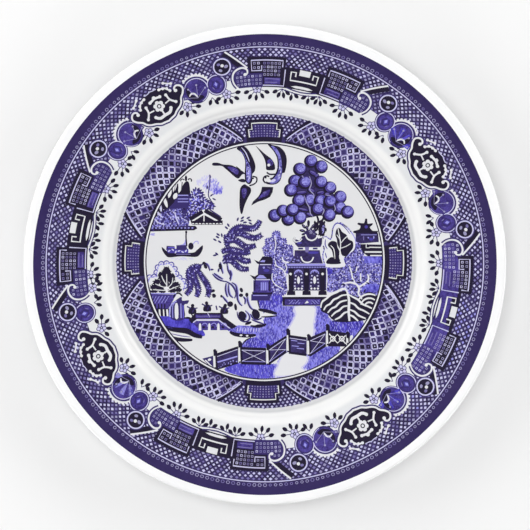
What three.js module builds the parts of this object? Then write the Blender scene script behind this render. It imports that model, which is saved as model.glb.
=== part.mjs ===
// A willow-pattern china dinner plate, 267 mm across, in millimetres with +Z up.
// The origin is the centre of the foot ring's resting face, so the plate stands on z = 0.
//
// The plate is one fired body, turned from a single profile: a foot ring, a flat well, a short
// steep verge and a wide straight rim that ends in a plain rolled lip. Its blue decoration was
// laid on as four separate printed layers, and each of those is a thin solid of its own: the
// edge band, the rim border, the border round the well, and the centre scene.

import * as THREE from "three";

// Driving dimensions.
const PLATE_RADIUS = 133.5; // a 10.5 inch plate
const PLATE_HEIGHT = 24;
const FOOT_RECESS = 4.8; // depth of the hollow inside the foot ring
const WELL_THICKNESS = 4.4;
const WELL_RADIUS = 83.2; // edge of the flat floor
const SHOULDER_RADIUS = 91; // where the verge meets the rim
const VERGE_RISE = 5.8; // from the floor up to the shoulder
const RIM_WALL = 4.3; // rim thickness beside the shoulder
const LIP_WALL = 3.7; // rim thickness at the lip

// The foot ring: its resting face, and the points where its two walls run out under the plate.
const FOOT_INNER_RADIUS = 76.6;
const FOOT_OUTER_RADIUS = 79;
const FOOT_EDGE = 1.4; // how far each edge of the resting face is rounded
const RECESS_RADIUS = 72; // the flat part of the underside
const HEEL_RADIUS = 86.4; // under the verge
const HEEL_DROP = 1.8; // below the top of the floor

// The rolled lip.
const LIP_NOSE = 1.9; // from the crest down to the widest point
const LIP_UNDERCUT = 2.6; // from the widest point in to where the rim's underside begins
const CREST_INSET = 1.7;
const LIP_TURN_INSET = 3.2;
const RIM_END_INSET = 4.9;

// The printed layers, as inner and outer radius.
const EDGE_BAND = [124.9, 128.2];
const RIM_BORDER = [91.4, 124.75];
const WELL_BORDER = [68.1, 82.7];
const CENTRE_SCENE = [0, 67.9];
const PRINT_THICKNESS = 0.1;
const PRINT_GAP = 0.05; // keeps each layer clear of the body

const SEGMENTS = 96; // round the plate
const CURVE_STEPS = 3; // along each curve of the profile

const FLOOR_Z = FOOT_RECESS + WELL_THICKNESS;
const SHOULDER_Z = FLOOR_Z + VERGE_RISE;

// The rim's top is a straight line from the shoulder to just under the lip's crest.
const CREST_RADIUS = PLATE_RADIUS - CREST_INSET;
const LIP_TURN_RADIUS = PLATE_RADIUS - LIP_TURN_INSET;
const RIM_END_RADIUS = PLATE_RADIUS - RIM_END_INSET;
const RIM_SLOPE = (PLATE_HEIGHT - SHOULDER_Z) / (LIP_TURN_RADIUS - SHOULDER_RADIUS);
const RIM_ANGLE = Math.atan(RIM_SLOPE);

const rimTop = (radius) => SHOULDER_Z + (radius - SHOULDER_RADIUS) * RIM_SLOPE;

// Half of the plate's cross-section, from the underside's centre round to the floor's centre. Each
// curve runs from where the last one ended, past a control point, to its own end.
function bodyProfile() {
  const innerWall = FOOT_INNER_RADIUS - FOOT_EDGE;
  const outerWall = FOOT_OUTER_RADIUS + FOOT_EDGE;
  const heelZ = FLOOR_Z - HEEL_DROP;
  const path = new THREE.Path();
  path.moveTo(0, FOOT_RECESS);
  path.lineTo(RECESS_RADIUS, FOOT_RECESS);

  // Foot ring: inner wall, resting face, outer wall.
  path.quadraticCurveTo(innerWall, FOOT_RECESS, innerWall, FOOT_EDGE);
  path.quadraticCurveTo(innerWall, 0, FOOT_INNER_RADIUS, 0);
  path.lineTo(FOOT_OUTER_RADIUS, 0);
  path.quadraticCurveTo(outerWall, 0, outerWall, FOOT_EDGE);
  path.quadraticCurveTo(outerWall + 1, FOOT_RECESS, HEEL_RADIUS, heelZ);

  // Underside of the verge and the rim, which thins towards the lip.
  const underStart = SHOULDER_RADIUS + 2.4;
  path.quadraticCurveTo(SHOULDER_RADIUS - 1, heelZ + 2, underStart, rimTop(underStart) - RIM_WALL);
  path.lineTo(PLATE_RADIUS - LIP_UNDERCUT, PLATE_HEIGHT - LIP_WALL);

  // Rolled lip, round its outside and over its crest.
  path.quadraticCurveTo(PLATE_RADIUS, PLATE_HEIGHT - 3, PLATE_RADIUS, PLATE_HEIGHT - LIP_NOSE);
  path.quadraticCurveTo(PLATE_RADIUS, PLATE_HEIGHT, CREST_RADIUS, PLATE_HEIGHT);
  path.quadraticCurveTo(LIP_TURN_RADIUS, PLATE_HEIGHT, RIM_END_RADIUS, rimTop(RIM_END_RADIUS));

  // Rim, then the verge's S-curve down to the floor.
  const vergeTurn = SHOULDER_RADIUS - 2.4;
  const vergeMiddle = SHOULDER_RADIUS - 4.3;
  path.lineTo(SHOULDER_RADIUS, SHOULDER_Z);
  path.quadraticCurveTo(vergeTurn, rimTop(vergeTurn), vergeMiddle, FLOOR_Z + VERGE_RISE * 0.47);
  path.quadraticCurveTo(WELL_RADIUS + 2, FLOOR_Z, WELL_RADIUS, FLOOR_Z);
  path.lineTo(0, FLOOR_Z);
  return path.getPoints(CURVE_STEPS);
}

// A thin ring lying on the straight line of the rim's top.
function rimLayerProfile([inner, outer]) {
  const along = (radius, height) =>
    new THREE.Vector2(
      radius - height * Math.sin(RIM_ANGLE),
      rimTop(radius) + height * Math.cos(RIM_ANGLE),
    );
  const low = PRINT_GAP;
  const high = PRINT_GAP + PRINT_THICKNESS;
  return [along(inner, low), along(outer, low), along(outer, high), along(inner, high), along(inner, low)];
}

// A thin ring, or a disc if it starts at the axis, lying on the flat floor of the well.
function floorLayerProfile([inner, outer]) {
  const low = FLOOR_Z + PRINT_GAP;
  const high = low + PRINT_THICKNESS;
  const outline = [
    new THREE.Vector2(inner, low),
    new THREE.Vector2(outer, low),
    new THREE.Vector2(outer, high),
    new THREE.Vector2(inner, high),
  ];
  return inner === 0 ? outline : [...outline, outline[0].clone()];
}

const glazedChina = new THREE.MeshStandardMaterial({ color: "#eeeeec", roughness: 0.16, metalness: 0 });
const navyBand = new THREE.MeshStandardMaterial({ color: "#3a2f61", roughness: 0.18, metalness: 0 });
const cobaltPrint = new THREE.MeshStandardMaterial({ color: "#5f568f", roughness: 0.18, metalness: 0 });
const paleCobaltPrint = new THREE.MeshStandardMaterial({ color: "#a29fc4", roughness: 0.18, metalness: 0 });

const plate = new THREE.Group();

// Turns a profile round the plate's axis, which a lathe makes its Y, and stands it up along +Z.
function addTurned(name, profile, material) {
  const mesh = new THREE.Mesh(new THREE.LatheGeometry(profile, SEGMENTS), material);
  mesh.name = name;
  mesh.rotation.x = Math.PI / 2;
  plate.add(mesh);
}

addTurned("plate_body", bodyProfile(), glazedChina);
addTurned("edge_band_print", rimLayerProfile(EDGE_BAND), navyBand);
addTurned("rim_border_print", rimLayerProfile(RIM_BORDER), cobaltPrint);
addTurned("well_border_print", floorLayerProfile(WELL_BORDER), cobaltPrint);
addTurned("centre_scene_print", floorLayerProfile(CENTRE_SCENE), paleCobaltPrint);

export default plate;
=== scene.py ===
import math
import random

import bmesh
import bpy
from mathutils import Matrix, Vector


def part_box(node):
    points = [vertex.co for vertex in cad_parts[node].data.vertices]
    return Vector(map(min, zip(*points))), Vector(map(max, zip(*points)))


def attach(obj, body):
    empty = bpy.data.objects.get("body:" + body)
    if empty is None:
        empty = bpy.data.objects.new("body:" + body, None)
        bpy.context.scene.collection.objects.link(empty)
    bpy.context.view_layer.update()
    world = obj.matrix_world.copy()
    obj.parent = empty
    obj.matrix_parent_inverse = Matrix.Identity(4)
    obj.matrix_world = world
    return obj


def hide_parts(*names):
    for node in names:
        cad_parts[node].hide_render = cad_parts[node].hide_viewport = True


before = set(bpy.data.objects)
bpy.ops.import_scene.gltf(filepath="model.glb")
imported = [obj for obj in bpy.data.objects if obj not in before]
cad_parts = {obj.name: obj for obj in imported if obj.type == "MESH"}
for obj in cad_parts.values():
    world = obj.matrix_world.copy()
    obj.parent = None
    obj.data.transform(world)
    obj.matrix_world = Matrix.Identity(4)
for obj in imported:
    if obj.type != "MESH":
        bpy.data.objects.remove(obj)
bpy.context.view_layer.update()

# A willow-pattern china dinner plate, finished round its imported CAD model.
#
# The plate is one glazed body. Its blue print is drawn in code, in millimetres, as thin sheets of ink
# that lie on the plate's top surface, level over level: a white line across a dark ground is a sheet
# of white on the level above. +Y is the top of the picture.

# ------------------------------------------------------------------------------------------ sizes

MM = 0.001


def reach(node):
    """How far a CAD node reaches from the plate's axis, in millimetres."""
    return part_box(node)[1].x / MM


PLATE_RADIUS = reach("plate_body")
PLATE_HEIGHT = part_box("plate_body")[1].z / MM
BAND_OUTER = reach("edge_band_print")
BORDER_OUTER = reach("rim_border_print")
WELL_PRINT_RADIUS = reach("well_border_print")

# The body's section, as in the CAD model.
FOOT_RECESS = 4.8
WELL_THICKNESS = 4.4
WELL_RADIUS = 83.2
SHOULDER_RADIUS = 91.0
VERGE_RISE = 5.8
RIM_WALL = 4.3
LIP_WALL = 3.7
RECESS_RADIUS = 72.0
FOOT_INNER_RADIUS = 76.6
FOOT_OUTER_RADIUS = 79.0
FOOT_EDGE = 1.4
HEEL_RADIUS = 86.4
HEEL_DROP = 1.8
LIP_NOSE = 1.9
LIP_UNDERCUT = 2.6
CREST_RADIUS = PLATE_RADIUS - 1.7
LIP_TURN_RADIUS = PLATE_RADIUS - 3.2
RIM_END_RADIUS = PLATE_RADIUS - 4.9
FLOOR_Z = FOOT_RECESS + WELL_THICKNESS
SHOULDER_Z = FLOOR_Z + VERGE_RISE
RIM_SLOPE = (PLATE_HEIGHT - SHOULDER_Z) / (LIP_TURN_RADIUS - SHOULDER_RADIUS)
RIM_ANGLE = math.atan(RIM_SLOPE)
BODY_SEGMENTS = 384

# The print.
PRINT_LIFT = 0.03  # of the lowest level over the glaze
LEVEL_STEP = 0.012
INK_STEP = 0.12  # of a level, so that two inks of a piece never share one plane
LONGEST_STEP = 2.5  # along the rim, so that a sheet follows the cone
RIM_REFERENCE = 110.0  # the radius at which the rim's drawings measure along the rim
WELL_REFERENCE = 76.0
MEDALLION_ANGLES = (31.2, 123.6, 209.0, 301.0)
SQUEEZED_SIDE = (3, 1)  # the medallion and the side of it where the border lacks its shell
FRET_ANGLES = (78.1, 169.0, 254.3, 345.5)
THIN_FRET = 4  # the fret that is inked thinly, counted from 1
THIN_LATTICE = (316, 349)  # the angles between which its faintest diamonds are lavender
KEY_ANGLES = (90.0, 178.5, 269.5, 359.2)

# The centre scene is drawn on a grid of its own, whose middle and scale these give.
SCENE_MIDDLE = (-0.35, 1.8)
SCENE_SCALE = 1.005
LINE_INNER = 65.9  # the white line round the scene, between two thin dark ones
LINE_OUTER = 66.7
WELL_SHIFT = 0.4  # how far towards the top the transfer sits off the plate's axis


def rim_top(radius):
    return SHOULDER_Z + (radius - SHOULDER_RADIUS) * RIM_SLOPE


def surface_point(x, y, lift):
    """A point on the floor or the rim, in metres, lifted off the glaze by so many millimetres."""
    radius = math.hypot(x, y)
    if radius <= WELL_RADIUS:
        return Vector((x, y, FLOOR_Z + lift)) * MM
    return Vector((x, y, rim_top(radius) + lift / math.cos(RIM_ANGLE))) * MM


def surface_normal(point):
    """The glaze's normal under a point that is given in metres."""
    radius = math.hypot(point.x, point.y)
    if radius <= WELL_RADIUS * MM:
        return Vector((0, 0, 1))
    inward = -math.sin(RIM_ANGLE) / radius
    return Vector((point.x * inward, point.y * inward, math.cos(RIM_ANGLE)))


# -------------------------------------------------------------------------------------- materials

LIGHT_GAIN = 1.17  # what a white sheet facing the lights returns, so that an ink comes out as mixed


def linear(srgb):
    """A colour mixed as 0 to 255 screen values, as the reflectance that shows it in this light."""
    shares = [v / 255 for v in srgb]
    return [(s / 12.92 if s < 0.04 else ((s + 0.055) / 1.055) ** 2.4) / LIGHT_GAIN for s in shares] + [1]


def add_node(nodes, kind, **settings):
    """A new shader node of a kind, such as Math, with its settings."""
    made = nodes.new("ShaderNode" + kind)
    for setting, value in settings.items():
        setattr(made, setting, value)
    return made


def new_material(name):
    material = bpy.data.materials.new(name)
    material.use_nodes = True
    tree = material.node_tree
    return material, tree.nodes, tree.links, tree.nodes["Principled BSDF"]


def noise(nodes, links, size, tall=1.0):
    """Noise whose grain is about so many millimetres wide and so many times as tall as that."""
    place = add_node(nodes, "TexCoord")
    squeeze = add_node(nodes, "VectorMath", operation="MULTIPLY")
    squeeze.inputs[1].default_value = (1, 1 / tall, 1)
    grain = add_node(nodes, "TexNoise")
    grain.inputs["Scale"].default_value = 1 / (size * MM)
    grain.inputs["Detail"].default_value = 3.0
    links.new(place.outputs["Object"], squeeze.inputs[0])
    links.new(squeeze.outputs["Vector"], grain.inputs["Vector"])
    return grain.outputs["Fac"]


def spread(nodes, links, value, low, high, middle=0.5, width=0.36):
    """Spreads the middle of a noise over the range from low to high."""
    mapped = add_node(nodes, "MapRange")
    mapped.inputs["From Min"].default_value = middle - width / 2
    mapped.inputs["From Max"].default_value = middle + width / 2
    mapped.inputs["To Min"].default_value = low
    mapped.inputs["To Max"].default_value = high
    links.new(value, mapped.inputs["Value"])
    return mapped.outputs["Result"]


def ripple(nodes, links, shader, size, height):
    """The faint unevenness of a fired glaze."""
    bump = add_node(nodes, "Bump")
    bump.inputs["Strength"].default_value = 1.0
    bump.inputs["Distance"].default_value = height * MM
    links.new(noise(nodes, links, size), bump.inputs["Height"])
    links.new(bump.outputs["Normal"], shader.inputs["Normal"])
    links.new(bump.outputs["Normal"], shader.inputs["Coat Normal"])


def glaze_over(nodes, links, shader, roughness):
    """A clear gloss coat over the clay or the ink."""
    shader.inputs["Coat Weight"].default_value = 1.0
    shader.inputs["Coat Roughness"].default_value = 0.06
    shader.inputs["Specular IOR Level"].default_value = 0.1
    links.new(spread(nodes, links, noise(nodes, links, 1.4), roughness - 0.12, roughness + 0.12),
              shader.inputs["Roughness"])
    ripple(nodes, links, shader, size=9.0, height=0.02)


def glaze_material():
    """White ware. The printed floor and rim keep a breath of blue that bled from the ink into the glaze.
    The foot of the verge is painted greyer, partly for glaze that pools there and partly as painted shade
    at the step up from the floor. The plain lip is whitest, and the verge is painted nearly as white, as a
    painted highlight ring on its slope."""
    material, nodes, links, shader = new_material("white_glaze")
    floor_tint = linear((229, 229, 231))
    # painted shade at the verge's foot, where the floor steps up, together with greyer pooled glaze
    pooled_glaze_and_shade = linear((219, 220, 222))
    # painted highlight: the verge's slope is painted whiter than the rim, in place of light on it
    verge_painted_highlight = linear((251, 251, 250))
    rim_tint = linear((233, 234, 236))
    lip_white = linear((255, 255, 255))
    rings = (
        (0.0, floor_tint),
        (WELL_PRINT_RADIUS, floor_tint),
        (WELL_RADIUS + 0.3, pooled_glaze_and_shade),
        (WELL_RADIUS + 1.6, verge_painted_highlight),
        (SHOULDER_RADIUS - 1.5, verge_painted_highlight),
        (SHOULDER_RADIUS + 0.5, rim_tint),
        (BORDER_OUTER, rim_tint),
        (BAND_OUTER, lip_white),
    )
    place = add_node(nodes, "TexCoord")
    flat = add_node(nodes, "VectorMath", operation="MULTIPLY")
    flat.inputs[1].default_value = (1, 1, 0)
    radius = add_node(nodes, "VectorMath", operation="LENGTH")
    share = add_node(nodes, "Math", operation="DIVIDE")
    share.inputs[1].default_value = PLATE_RADIUS * MM
    ramp = add_node(nodes, "ValToRGB")
    stops = ramp.color_ramp.elements
    while len(stops) < len(rings):
        stops.new(1.0)
    for stop, (ring, tint) in zip(stops, rings):
        stop.position = ring / PLATE_RADIUS
        stop.color = tint
    clouds = add_node(nodes, "Mix", data_type="RGBA", blend_type="MULTIPLY")
    clouds.inputs["B"].default_value = (0.972, 0.975, 0.985, 1)
    links.new(place.outputs["Object"], flat.inputs[0])
    links.new(flat.outputs["Vector"], radius.inputs[0])
    links.new(radius.outputs["Value"], share.inputs[0])
    links.new(share.outputs["Value"], ramp.inputs["Fac"])
    links.new(ramp.outputs["Color"], clouds.inputs["A"])
    links.new(spread(nodes, links, noise(nodes, links, 22.0), 0, 1), clouds.inputs["Factor"])
    links.new(clouds.outputs["Result"], shader.inputs["Base Color"])
    glaze_over(nodes, links, shader, 0.4)
    return material


def bare_clay_material():
    """The foot ring's resting face, wiped clean of glaze: buff, dry and speckled."""
    material, nodes, links, shader = new_material("bare_foot_clay")
    ramp = add_node(nodes, "ValToRGB")
    ramp.color_ramp.elements[0].position = 0.35
    ramp.color_ramp.elements[0].color = (0.42, 0.34, 0.25, 1)
    ramp.color_ramp.elements[1].position = 0.6
    ramp.color_ramp.elements[1].color = (0.72, 0.65, 0.54, 1)
    links.new(noise(nodes, links, 0.7), ramp.inputs["Fac"])
    links.new(ramp.outputs["Color"], shader.inputs["Base Color"])
    shader.inputs["Roughness"].default_value = 0.9
    return material


# Each ink's colour, and for a wash the second colour it clouds into, and its grain's width in
# millimetres and how many times as tall the grain is.
INKS = {
    "black": ((36, 30, 52), None, 0, 0),
    "navy": ((58, 48, 108), None, 0, 0),
    "cobalt": ((76, 66, 162), None, 0, 0),
    "blue": ((104, 98, 214), None, 0, 0),
    "lavender": ((158, 154, 230), None, 0, 0),
    "mauve": ((124, 115, 172), None, 0, 0),
    "lilac": ((158, 153, 192), None, 0, 0),
    "pale": ((206, 203, 238), None, 0, 0),
    "white": ((230, 230, 234), None, 0, 0),
    "band_wash": ((58, 47, 97), (52, 42, 91), 5.0, 1.0),
    "dark_wash": ((42, 34, 68), (66, 56, 112), 1.4, 1.0),
    "violet_wash": ((52, 40, 104), (88, 75, 162), 0.9, 1.0),
    "deep_wash": ((44, 35, 138), (100, 90, 222), 0.8, 2.6),
    "blue_wash": ((58, 50, 162), (142, 138, 244), 0.8, 2.0),
    "feather_wash": ((62, 54, 144), (154, 150, 232), 0.8, 1.3),
    "ball_wash": ((76, 69, 174), (166, 163, 236), 0.8, 1.0),
}


def ink_material(name):
    """Cobalt ink under the glaze."""
    colour, second, grain, tall = INKS[name]
    material, nodes, links, shader = new_material("ink_" + name)
    shader.inputs["Base Color"].default_value = linear(colour)
    if second:
        both = add_node(nodes, "Math", operation="ADD")
        clouding = add_node(nodes, "Mix", data_type="RGBA")
        clouding.inputs["A"].default_value = linear(colour)
        clouding.inputs["B"].default_value = linear(second)
        links.new(noise(nodes, links, grain, tall), both.inputs[0])
        links.new(noise(nodes, links, grain * 6), both.inputs[1])
        links.new(spread(nodes, links, both.outputs["Value"], 0, 1, middle=1.0, width=0.5),
                  clouding.inputs["Factor"])
        links.new(clouding.outputs["Result"], shader.inputs["Base Color"])
    glaze_over(nodes, links, shader, 0.5)
    return material


ink_materials = {name: ink_material(name) for name in INKS}

# ------------------------------------------------------------------------------- lines and shapes


def curve(points, steps=4, closed=True):
    """A smooth line through the points (Catmull-Rom), closed into an outline or open."""
    count = len(points)
    made = []
    for i in range(count if closed else count - 1):
        if closed:
            before, start, end, after = (points[(i + k) % count] for k in (-1, 0, 1, 2))
        else:
            before, start, end, after = (points[min(max(i + k, 0), count - 1)] for k in (-1, 0, 1, 2))
        for step in range(steps):
            t = step / steps
            made.append(tuple(
                0.5 * (2 * b + (c - a) * t + (2 * a - 5 * b + 4 * c - d) * t * t
                       + (3 * b - a - 3 * c + d) * t ** 3)
                for a, b, c, d in zip(before, start, end, after)))
    return made if closed else made + [points[-1]]


def arc(x, y, radius, start, end, steps=12, squash=1.0):
    """Points of an arc, with angles in degrees; squash flattens it upright."""
    angles = [math.radians(start + (end - start) * i / steps) for i in range(steps + 1)]
    return [(x + radius * math.cos(a), y + radius * squash * math.sin(a)) for a in angles]


def both_sides(points):
    """An outline from its right half, which runs from its top to its bottom on x = 0."""
    return points + [(-x, y) for x, y in reversed(points)]


def spaced(points, gap):
    """Points at even distances along a line, each with the way the line runs there, in degrees."""
    made = []
    rest = gap / 2
    for (x0, y0), (x1, y1) in zip(points, points[1:]):
        length = math.hypot(x1 - x0, y1 - y0)
        turn = math.degrees(math.atan2(y1 - y0, x1 - x0))
        while rest < length:
            made.append((x0 + (x1 - x0) * rest / length, y0 + (y1 - y0) * rest / length, turn))
            rest += gap
        rest -= length
    return made


def inside(outline, x, y):
    within = False
    for (x0, y0), (x1, y1) in zip(outline, outline[1:] + outline[:1]):
        if (y0 <= y) != (y1 <= y) and x < x0 + (y - y0) * (x1 - x0) / (y1 - y0):
            within = not within
    return within


def chords(outline, turn, pitch):
    """Parallel lines at an angle in degrees, each cut to the inside of an outline."""
    c = math.cos(math.radians(turn))
    s = math.sin(math.radians(turn))
    turned = [(x * c + y * s, y * c - x * s) for x, y in outline]
    sides = list(zip(turned, turned[1:] + turned[:1]))
    height = min(y for x, y in turned) + pitch / 2
    top = max(y for x, y in turned)
    while height < top:
        cuts = sorted(x0 + (height - y0) * (x1 - x0) / (y1 - y0)
                      for (x0, y0), (x1, y1) in sides if (y0 <= height) != (y1 <= height))
        for a, b in zip(cuts[::2], cuts[1::2]):
            yield (a * c - height * s, a * s + height * c), (b * c - height * s, b * s + height * c)
        height += pitch


class Print:
    """A printed piece: shapes drawn in millimetres on a flat sheet, then laid on the plate."""

    def __init__(self, name, place, slot, level=0):
        self.name = name
        self.place = place
        self.slot = slot
        self.level = level
        self.shapes = []
        self.inks = []
        self.random = random.Random(name)

    def up(self, levels=1):
        """Goes on drawing so many levels higher."""
        self.level += levels

    def pick(self, *choices):
        return self.random.choice(choices)

    def between(self, low, high):
        """A random size from low to high."""
        return low + (high - low) * self.random.random()

    def fill(self, ink, outline):
        if ink not in self.inks:
            self.inks.append(ink)
        self.shapes.append((self.inks.index(ink), self.level, outline))

    def line(self, ink, points, width, taper=0.0, closed=False):
        """A stroke. A taper of 1 brings its ends to points."""
        count = len(points)
        sides = []
        for i, (x, y) in enumerate(points):
            before = points[i - 1] if i or closed else points[0]
            after = points[(i + 1) % count] if i < count - 1 or closed else points[-1]
            dx = after[0] - before[0]
            dy = after[1] - before[1]
            length = math.hypot(dx, dy) or 1.0
            share = 2 * i / (count - 1) - 1
            half = width / 2 * max(1 - taper * share * share, 0.05)
            sides.append(((x - dy / length * half, y + dx / length * half),
                          (x + dy / length * half, y - dx / length * half)))
        pairs = zip(sides, sides[1:] + sides[:1]) if closed else zip(sides, sides[1:])
        for (left, right), (next_left, next_right) in pairs:
            self.fill(ink, [left, right, next_right, next_left])

    def patch(self, ink, points, steps=4):
        """Fills the smooth outline through the points."""
        self.fill(ink, curve(points, steps))

    def sweep(self, ink, points, width, taper=0.0, steps=3):
        """A stroke along the smooth line through the points."""
        self.line(ink, curve(points, steps, False), width, taper)

    def sweeps(self, ink, rows, taper=0.0, steps=3):
        """Strokes given as (points, width)."""
        for points, width in rows:
            self.sweep(ink, points, width, taper, steps)

    def dot(self, ink, x, y, radius, tall=None, turn=0.0, sides=12):
        """A disc, or an oval if it is given a height, turned by so many degrees."""
        c = math.cos(math.radians(turn))
        s = math.sin(math.radians(turn))
        ring = arc(0, 0, radius, 0, 360 - 360 / sides, sides - 1, (tall or radius) / radius)
        self.fill(ink, [(x + a * c - b * s, y + a * s + b * c) for a, b in ring])

    def discs(self, x, y, *rings):
        """Discs about one middle, given as (ink, radius, sides), each a level above the last."""
        for ink, radius, sides in rings:
            self.dot(ink, x, y, radius, sides=sides)
            self.up()
        self.up(-1)

    def leaf(self, ink, x, y, length, width, turn):
        """A pointed leaf about its middle."""
        c = math.cos(math.radians(turn))
        s = math.sin(math.radians(turn))
        half = [(-0.5, 0.0), (-0.3, 0.36), (0.0, 0.5), (0.3, 0.36), (0.5, 0.0)]
        ring = half + [(a, -b) for a, b in reversed(half[1:-1])]
        self.fill(ink, [(x + a * length * c - b * width * s, y + a * length * s + b * width * c)
                        for a, b in ring])

    def hatch(self, ink, outline, turn, pitch, width):
        for start, end in chords(outline, turn, pitch):
            self.line(ink, [start, end], width)

    def stipple(self, ink, outline, pitch, radius, squash=0.75, lean=180.0):
        """Small uneven dots all over an outline. Each turns by up to so many degrees off upright."""
        xs = [x for x, y in outline]
        ys = [y for x, y in outline]
        for row in range(int((max(ys) - min(ys)) / pitch) + 1):
            for column in range(int((max(xs) - min(xs)) / pitch) + 1):
                x = min(xs) + (column + self.random.random()) * pitch
                y = min(ys) + (row + self.random.random()) * pitch
                if inside(outline, x, y):
                    size = radius * self.between(0.6, 1.4)
                    turn = 90 + self.between(-0.5, 0.5) * lean
                    self.dot(ink, x, y, size, size * squash, turn, 6)

    def scatter(self, ink, x, y, wide, tall, count, length, width, turn):
        """Brush marks strewn over an oval."""
        for _ in range(count):
            around = self.between(0, 2 * math.pi)
            out = math.sqrt(self.random.random())
            spin = turn + self.between(-35, 35)
            self.leaf(ink, x + wide * out * math.cos(around), y + tall * out * math.sin(around),
                      length * self.between(0.7, 1.3), width, spin)

    def lay(self, *replaced):
        """Bends the shapes over the plate, gives them its normals, and makes the piece."""
        made = bmesh.new()
        for ink_index, level, outline in self.shapes:
            corners = [made.verts.new((x, y, level + INK_STEP * ink_index)) for x, y in outline]
            made.faces.new(corners).material_index = ink_index
        made.normal_update()
        bmesh.ops.triangulate(made, faces=made.faces[:], ngon_method="EAR_CLIP")
        if math.hypot(*self.place(0, SHOULDER_RADIUS)) > WELL_RADIUS:
            self.cut_short(made)
        for corner in made.verts:
            x, y = self.place(corner.co.x, corner.co.y)
            corner.co = surface_point(x, y, PRINT_LIFT + LEVEL_STEP * corner.co.z)
        made.normal_update()
        for face in made.faces:
            if face.normal.z < 0:
                face.normal_flip()
        mesh = bpy.data.meshes.new(self.name)
        made.to_mesh(mesh)
        made.free()
        for ink in self.inks:
            mesh.materials.append(ink_materials[ink])
        mesh.shade_smooth()
        mesh.normals_split_custom_set_from_vertices([surface_normal(v.co) for v in mesh.vertices])
        piece = add_piece(self.name, mesh, self.slot, *replaced)
        piece.visible_shadow = False  # ink in a glaze shades nothing
        piece.visible_diffuse = False

    @staticmethod
    def cut_short(made):
        """Cuts edges that run too far along the rim."""
        while True:
            long_edges = [e for e in made.edges if abs(e.verts[0].co.x - e.verts[1].co.x) > LONGEST_STEP]
            if not long_edges:
                return
            bmesh.ops.subdivide_edges(made, edges=long_edges, cuts=1)
            made.normal_update()
            bmesh.ops.triangulate(made, faces=[f for f in made.faces if len(f.verts) > 3])


def add_piece(name, mesh, slot, *replaced):
    piece = bpy.data.objects.new(name, mesh)
    bpy.context.collection.objects.link(piece)
    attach(piece, "root")
    if replaced:
        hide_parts(*replaced)
    return piece


def ring_place(angle, reference, mirror=1, shift=0.0):
    """Places (distance clockwise from an angle, radius); mirror -1 runs the other way round."""
    def place(along, radius):
        turn = math.radians(angle) - mirror * along / reference
        return radius * math.cos(turn), radius * math.sin(turn) + shift
    return place


def scene_place(x, y):
    """Moves the scene's own grid onto the floor, where the white line round it ends everything."""
    x = (x - SCENE_MIDDLE[0]) * SCENE_SCALE
    y = (y - SCENE_MIDDLE[1]) * SCENE_SCALE
    pull = min(1, (LINE_INNER - 0.2) / max(math.hypot(x, y), 1))
    return x * pull, y * pull + WELL_SHIFT


# ------------------------------------------------------------------------------------------- body


def bend(start, control, end, steps=8):
    """Points of a quadratic curve after its start."""
    made = []
    for i in range(1, steps + 1):
        t = i / steps
        made.append(tuple((1 - t) ** 2 * a + 2 * t * (1 - t) * b + t * t * c
                          for a, b, c in zip(start, control, end)))
    return made


def body_profile():
    """Half of the section, from the underside's centre round to the floor's centre."""
    inner_wall = FOOT_INNER_RADIUS - FOOT_EDGE
    outer_wall = FOOT_OUTER_RADIUS + FOOT_EDGE
    heel_z = FLOOR_Z - HEEL_DROP
    under_start = SHOULDER_RADIUS + 2.4
    verge_turn = SHOULDER_RADIUS - 2.4
    verge_middle = SHOULDER_RADIUS - 4.3
    path = [(0, FOOT_RECESS), (RECESS_RADIUS, FOOT_RECESS)]
    path += bend(path[-1], (inner_wall, FOOT_RECESS), (inner_wall, FOOT_EDGE))
    path += bend(path[-1], (inner_wall, 0), (FOOT_INNER_RADIUS, 0))
    path += [(FOOT_OUTER_RADIUS, 0)]
    path += bend(path[-1], (outer_wall, 0), (outer_wall, FOOT_EDGE))
    path += bend(path[-1], (outer_wall + 1, FOOT_RECESS), (HEEL_RADIUS, heel_z))
    path += bend(path[-1], (SHOULDER_RADIUS - 1, heel_z + 2),
                 (under_start, rim_top(under_start) - RIM_WALL))
    path += [(PLATE_RADIUS - LIP_UNDERCUT, PLATE_HEIGHT - LIP_WALL)]
    path += bend(path[-1], (PLATE_RADIUS, PLATE_HEIGHT - 3), (PLATE_RADIUS, PLATE_HEIGHT - LIP_NOSE))
    path += bend(path[-1], (PLATE_RADIUS, PLATE_HEIGHT), (CREST_RADIUS, PLATE_HEIGHT))
    path += bend(path[-1], (LIP_TURN_RADIUS, PLATE_HEIGHT), (RIM_END_RADIUS, rim_top(RIM_END_RADIUS)))
    path += [(SHOULDER_RADIUS, SHOULDER_Z)]
    path += bend(path[-1], (verge_turn, rim_top(verge_turn)), (verge_middle, FLOOR_Z + VERGE_RISE * 0.47))
    path += bend(path[-1], (WELL_RADIUS + 2, FLOOR_Z), (WELL_RADIUS, FLOOR_Z))
    return path + [(0, FLOOR_Z)]


def make_body():
    """The glazed body, turned finely from the section, with a bare resting face."""
    profile = body_profile()
    made = bmesh.new()
    spine = [made.verts.new((r * MM, 0, z * MM)) for r, z in profile]
    edges = [made.edges.new(pair) for pair in zip(spine, spine[1:])]
    bmesh.ops.spin(made, geom=spine + edges, axis=(0, 0, 1), cent=(0, 0, 0),
                   angle=2 * math.pi, steps=BODY_SEGMENTS, use_merge=True)
    bmesh.ops.remove_doubles(made, verts=made.verts[:], dist=1e-7)
    bmesh.ops.recalc_face_normals(made, faces=made.faces[:])
    for face in made.faces:
        face.smooth = True
        if all(corner.co.z < 1e-6 for corner in face.verts):
            face.material_index = 1
    mesh = bpy.data.meshes.new("plate_body_glazed")
    made.to_mesh(mesh)
    made.free()
    mesh.materials.append(glaze_material())
    mesh.materials.append(bare_clay_material())
    mesh.set_sharp_from_angle(angle=math.radians(40))
    add_piece("plate_body_glazed", mesh, "white_glaze", "plate_body")


# -------------------------------------------------------------------------------------------- rim

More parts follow.
